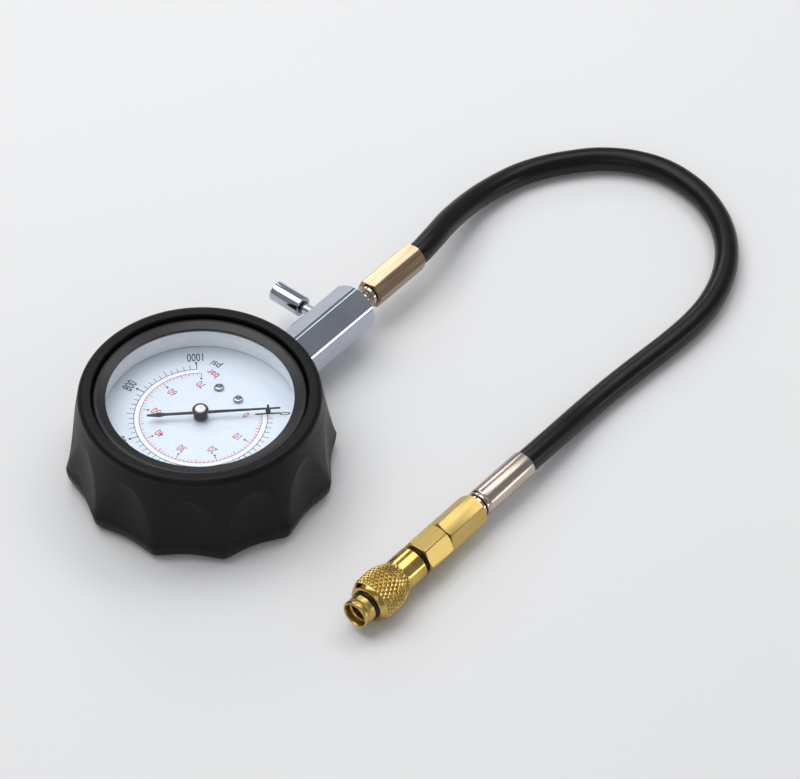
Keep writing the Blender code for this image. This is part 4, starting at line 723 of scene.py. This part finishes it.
def make_adapter():
    """Hex adapter with a spigot that is screwed into the coupler."""
    across, face, barrel, slope, hexed = 12.2, 5.85, 6.9, 0.65, 20.2
    tail_bore, passage, tail_depth, length = 3.9, 1.2, 7.9, 26.4
    spigot = [(4.6, hexed), (4.6, length - 0.8), (3.8, length), (passage, length), (passage, tail_depth),
              (tail_bore, tail_depth)]
    profile = [(tail_bore, 0.0)] + chamfered(face, barrel, slope, hexed) + spigot
    bm = hexagon_bar(across, profile, math.radians(90 - 16), corner=0.12)
    return piece("adapter_hex", bm, "brass", "base", ["hex_adapter"], side_of("hex_adapter", "-Y"), "+Y")


def make_socket_body():
    """Hex body whose tube carries the sleeve and ends in two ridges, with a hole for each lock ball."""
    across, face, barrel, slope, hexed, mouth = 13.4, 6.5, 7.6, 0.65, 13.2, 49.1
    tube, collar, collar_start = 5.2, 5.7, 29.8
    outside = [(tube, hexed), (tube, collar_start), (collar, collar_start), (collar, 42.2), (5.1, 42.2),
               (5.1, 43.7), (collar, 43.7)]
    nose = [(5.75, mouth - 3.2), (5.4, mouth - 2.8), (5.0, mouth - 2.5), (5.0, mouth - 2.2),
            (5.4, mouth - 1.9), (5.75, mouth - 1.5), (5.75, mouth - 0.5), (5.35, mouth), (4.95, mouth),
            (4.7, mouth - 0.5), (4.6, mouth - 2.6), (4.1, mouth - 3.1)]
    bores = [(4.1, 16.7), (1.9, 16.7), (1.9, 15.8), (2.7, 15.8), (2.7, 6.8), (1.2, 6.8), (1.2, 5.9),
             (4.9, 5.9)]
    profile = [(4.9, 0.0)] + chamfered(face, barrel, slope, hexed) + outside + nose + bores
    bm = hexagon_bar(across, profile, math.radians(90 + 1.5), corner=0.12)
    centre = Vector((COUPLER_X, side_of("lock_ball_1", "+X")[1], COUPLER_Z))
    holes = []
    for k in range(3):
        a = math.tau * k / 3
        hole = lathe([(0.0, 2.0), (1.35, 2.0), (1.35, 7.0), (0.0, 7.0)], 24, ring=False)
        way = Vector((math.cos(a), 0, math.sin(a))).to_track_quat("Z", "Y").to_matrix().to_4x4()
        holes.append(moved(hole, Matrix.Translation(centre * mm) @ way))
    return piece("socket_body", bm, "brass", "base", ["coupler_body"], side_of("coupler_body", "-Y"), "+Y",
                 holes=holes)


def sleeve_radius(share):
    """Outer radius of the pull sleeve at a share of its length: a tube, then a bulb that rounds off."""
    tube, swell, fall = 7.0, 2.1, 1.7
    swell_from, swell_over, round_from = 0.33, 0.29, 0.80
    flare = min(max((share - swell_from) / swell_over, 0.0), 1.0)
    rounding = max((share - round_from) / (1 - round_from), 0.0)
    return tube + swell * flare * flare * (3 - 2 * flare) - fall * rounding ** 2.2


def knurl(bm):
    """Sinks thirty crossed grooves, about 1.6 mm apart, into the bulb, so that diamonds stand up."""
    low, high, wall = 9.8, 25.2, 6.9
    starts, pitch, depth, land = 30, 3.0, 0.55, 0.35
    fade_in, fade_out = 1.2, 0.8
    for vert in bm.verts:
        radius = math.hypot(vert.co.x, vert.co.y) / mm
        height = vert.co.z / mm
        if radius < wall or not low < height < high:
            continue
        turn = math.atan2(vert.co.y, vert.co.x) / math.tau * starts
        along = height / pitch
        groove = max(abs(2 * ((turn + along) % 1.0) - 1), abs(2 * ((turn - along) % 1.0) - 1))
        fade = min(1.0, (height - low) / fade_in, (high - height) / fade_out)
        dip = depth * max((groove - land) / (1 - land), 0.0) ** 1.2 * fade
        vert.co.x *= 1 - dip / radius
        vert.co.y *= 1 - dip / radius


def make_pull_sleeve():
    """Pull sleeve: plain tube that flares into a knurled bulb."""
    length, edge, steps = 26.9, 0.3, 130
    heights = [edge + (length - edge) * k / steps for k in range(1, steps)]
    outside = [(6.7, 0.0), (7.0, edge)] + [(sleeve_radius(height / length), height) for height in heights]
    inside = [(7.4, length), (6.0, length), (6.0, 14.9), (6.5, 14.9), (6.5, 0.0)]
    bm = lathe(outside + inside, 420)
    knurl(bm)
    return piece("pull_sleeve", bm, "bright_brass", "sleeve", ["coupler_sleeve"],
                 side_of("coupler_sleeve", "-Y"), "+Y", sharp=60.0)


# Springs

def make_springs():
    """Coil springs, copied from their CAD nodes and given their finishes."""
    relief_end = (side_of("relief_spring", "-X")[0], RELIEF_AT[1], STEM_Z)
    sleeve_end = (COUPLER_X, side_of("sleeve_spring", "-Y")[1], COUPLER_Z)
    check_end = (COUPLER_X, side_of("check_spring", "-Y")[1], COUPLER_Z)
    coils = []
    for node, coat, joint, axis, fixed_end, keep in (
            ("relief_spring", "spring_steel", "relief_press", (1, 0, 0), relief_end, 0.69),
            # The sleeve spring gets near-black wire as painted shade for the gap between the hex and the
            # sleeve.
            ("sleeve_spring", "dark_wire_and_gap_shade", "sleeve_pull", (0, 1, 0), sleeve_end, 0.90),
            ("check_spring", "spring_steel", "check_lift", (0, 1, 0), check_end, 0.78)):
        bm = bmesh.new()
        bm.from_mesh(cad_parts[node].data)
        bmesh.ops.remove_doubles(bm, verts=bm.verts, dist=1e-6)
        coil = piece(f"{node}_coil", bm, coat, "base", [node], sharp=40.0)
        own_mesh(coil)
        coils.append(coil)
    return coils


# CAD nodes that still show or lie hidden inside, by their finish

NODE_FINISHES = {
    "steel": ["gauge_case", "case_screw_left", "case_screw_right", "pinion", "pointer_shaft", "sector_arbor",
              "sector_pin", "tip_pin", "movement_screw_1", "movement_screw_2", "hairspring_stud",
              "relief_pin", "lock_ball_1", "lock_ball_2", "lock_ball_3"],
    "spring_steel": ["hairspring"],
    "dark_wire_and_gap_shade": ["snap_ring"],
    "brass": ["sector_gear", "lower_plate", "upper_plate", "pillar_1", "pillar_2", "pillar_3",
              "dial_post_left", "dial_post_right", "hairspring_collet", "socket_block", "tube_tip",
              "check_poppet", "tip_link"],
    "bronze": ["bourdon_tube"],
    "copper": ["stem_washer"],
    "seal_rubber": ["relief_seal", "bore_seal"],
    "dial": ["dial_plate"],
    "lacquer": ["pointer"],
}


def finish_nodes():
    """Gives each of these nodes its finish."""
    for coat, names in NODE_FINISHES.items():
        for name in names:
            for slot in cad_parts[name].material_slots:
                slot.material = FINISH[coat]


# Studio, with each lamp's place and size in metres and its power in watts

LAMPS = [
    ("overhead", (0.6, 0.03, 1.6), (1.35, 1.35), 14.5),
    ("rear", (0.04, -0.92, 1.34), (1.0, 0.5), 4.1),
    ("low_left", (-1.3, -0.83, 0.15), (0.5, 0.2), 1.3),
    ("low_right", (1.08, -0.92, 0.77), (0.5, 0.4), 2.0),
    ("front", (-0.9, 1.3, 1.1), (1.0, 1.0), 2.2),
]
LAMPS_AIM = Vector((-0.04, -0.07, 0))


def make_floor():
    """Plain pale floor, a hair below the gauge, so that their faces don't meet."""
    gap = 0.0002
    bm = bmesh.new()
    bmesh.ops.create_grid(bm, x_segments=1, y_segments=1, size=6.0)
    floor = new_object("floor", mesh_of("floor", bm, 30.0))
    floor.location.z = -gap
    floor.data.materials.append(finish("pale_floor_paint", 0.0, ("#f5f5f5", "#f7f7f7"), (0.58, 0.64),
                                       (300, 80, 40), (0.02, 0.02), settings={"Specular IOR Level": 0.2}))


def light_studio():
    """A broad soft light overhead, smaller soft ones round the gauge, and a pale surround."""
    for name, place, size, power in LAMPS:
        data = bpy.data.lights.new(name, "AREA")
        data.shape = "RECTANGLE"
        data.size, data.size_y = size
        data.energy = power
        lamp = new_object(name, data)
        lamp.location = place
        lamp.rotation_mode = "QUATERNION"
        lamp.rotation_quaternion = (LAMPS_AIM - Vector(place)).to_track_quat("-Z", "Y")
    world = bpy.data.worlds.new("studio")
    bpy.context.scene.world = world
    world.use_nodes = True
    background = world.node_tree.nodes["Background"]
    background.inputs["Color"].default_value = linear("#eceff4")
    background.inputs["Strength"].default_value = 0.36
    bpy.context.scene.view_settings.view_transform = "Standard"


hose, hose_length = make_hose()
make_boot()
make_window()
make_dial_screws()
make_zero_pin()
make_pointer_hub()
make_print()
make_valve_body()
make_relief_valve()
make_valve_end()
end_pieces = make_coupler_end() + [make_adapter(), make_socket_body(), make_pull_sleeve()]
_, sleeve_coil, check_coil = make_springs()
finish_nodes()
make_floor()
light_studio()
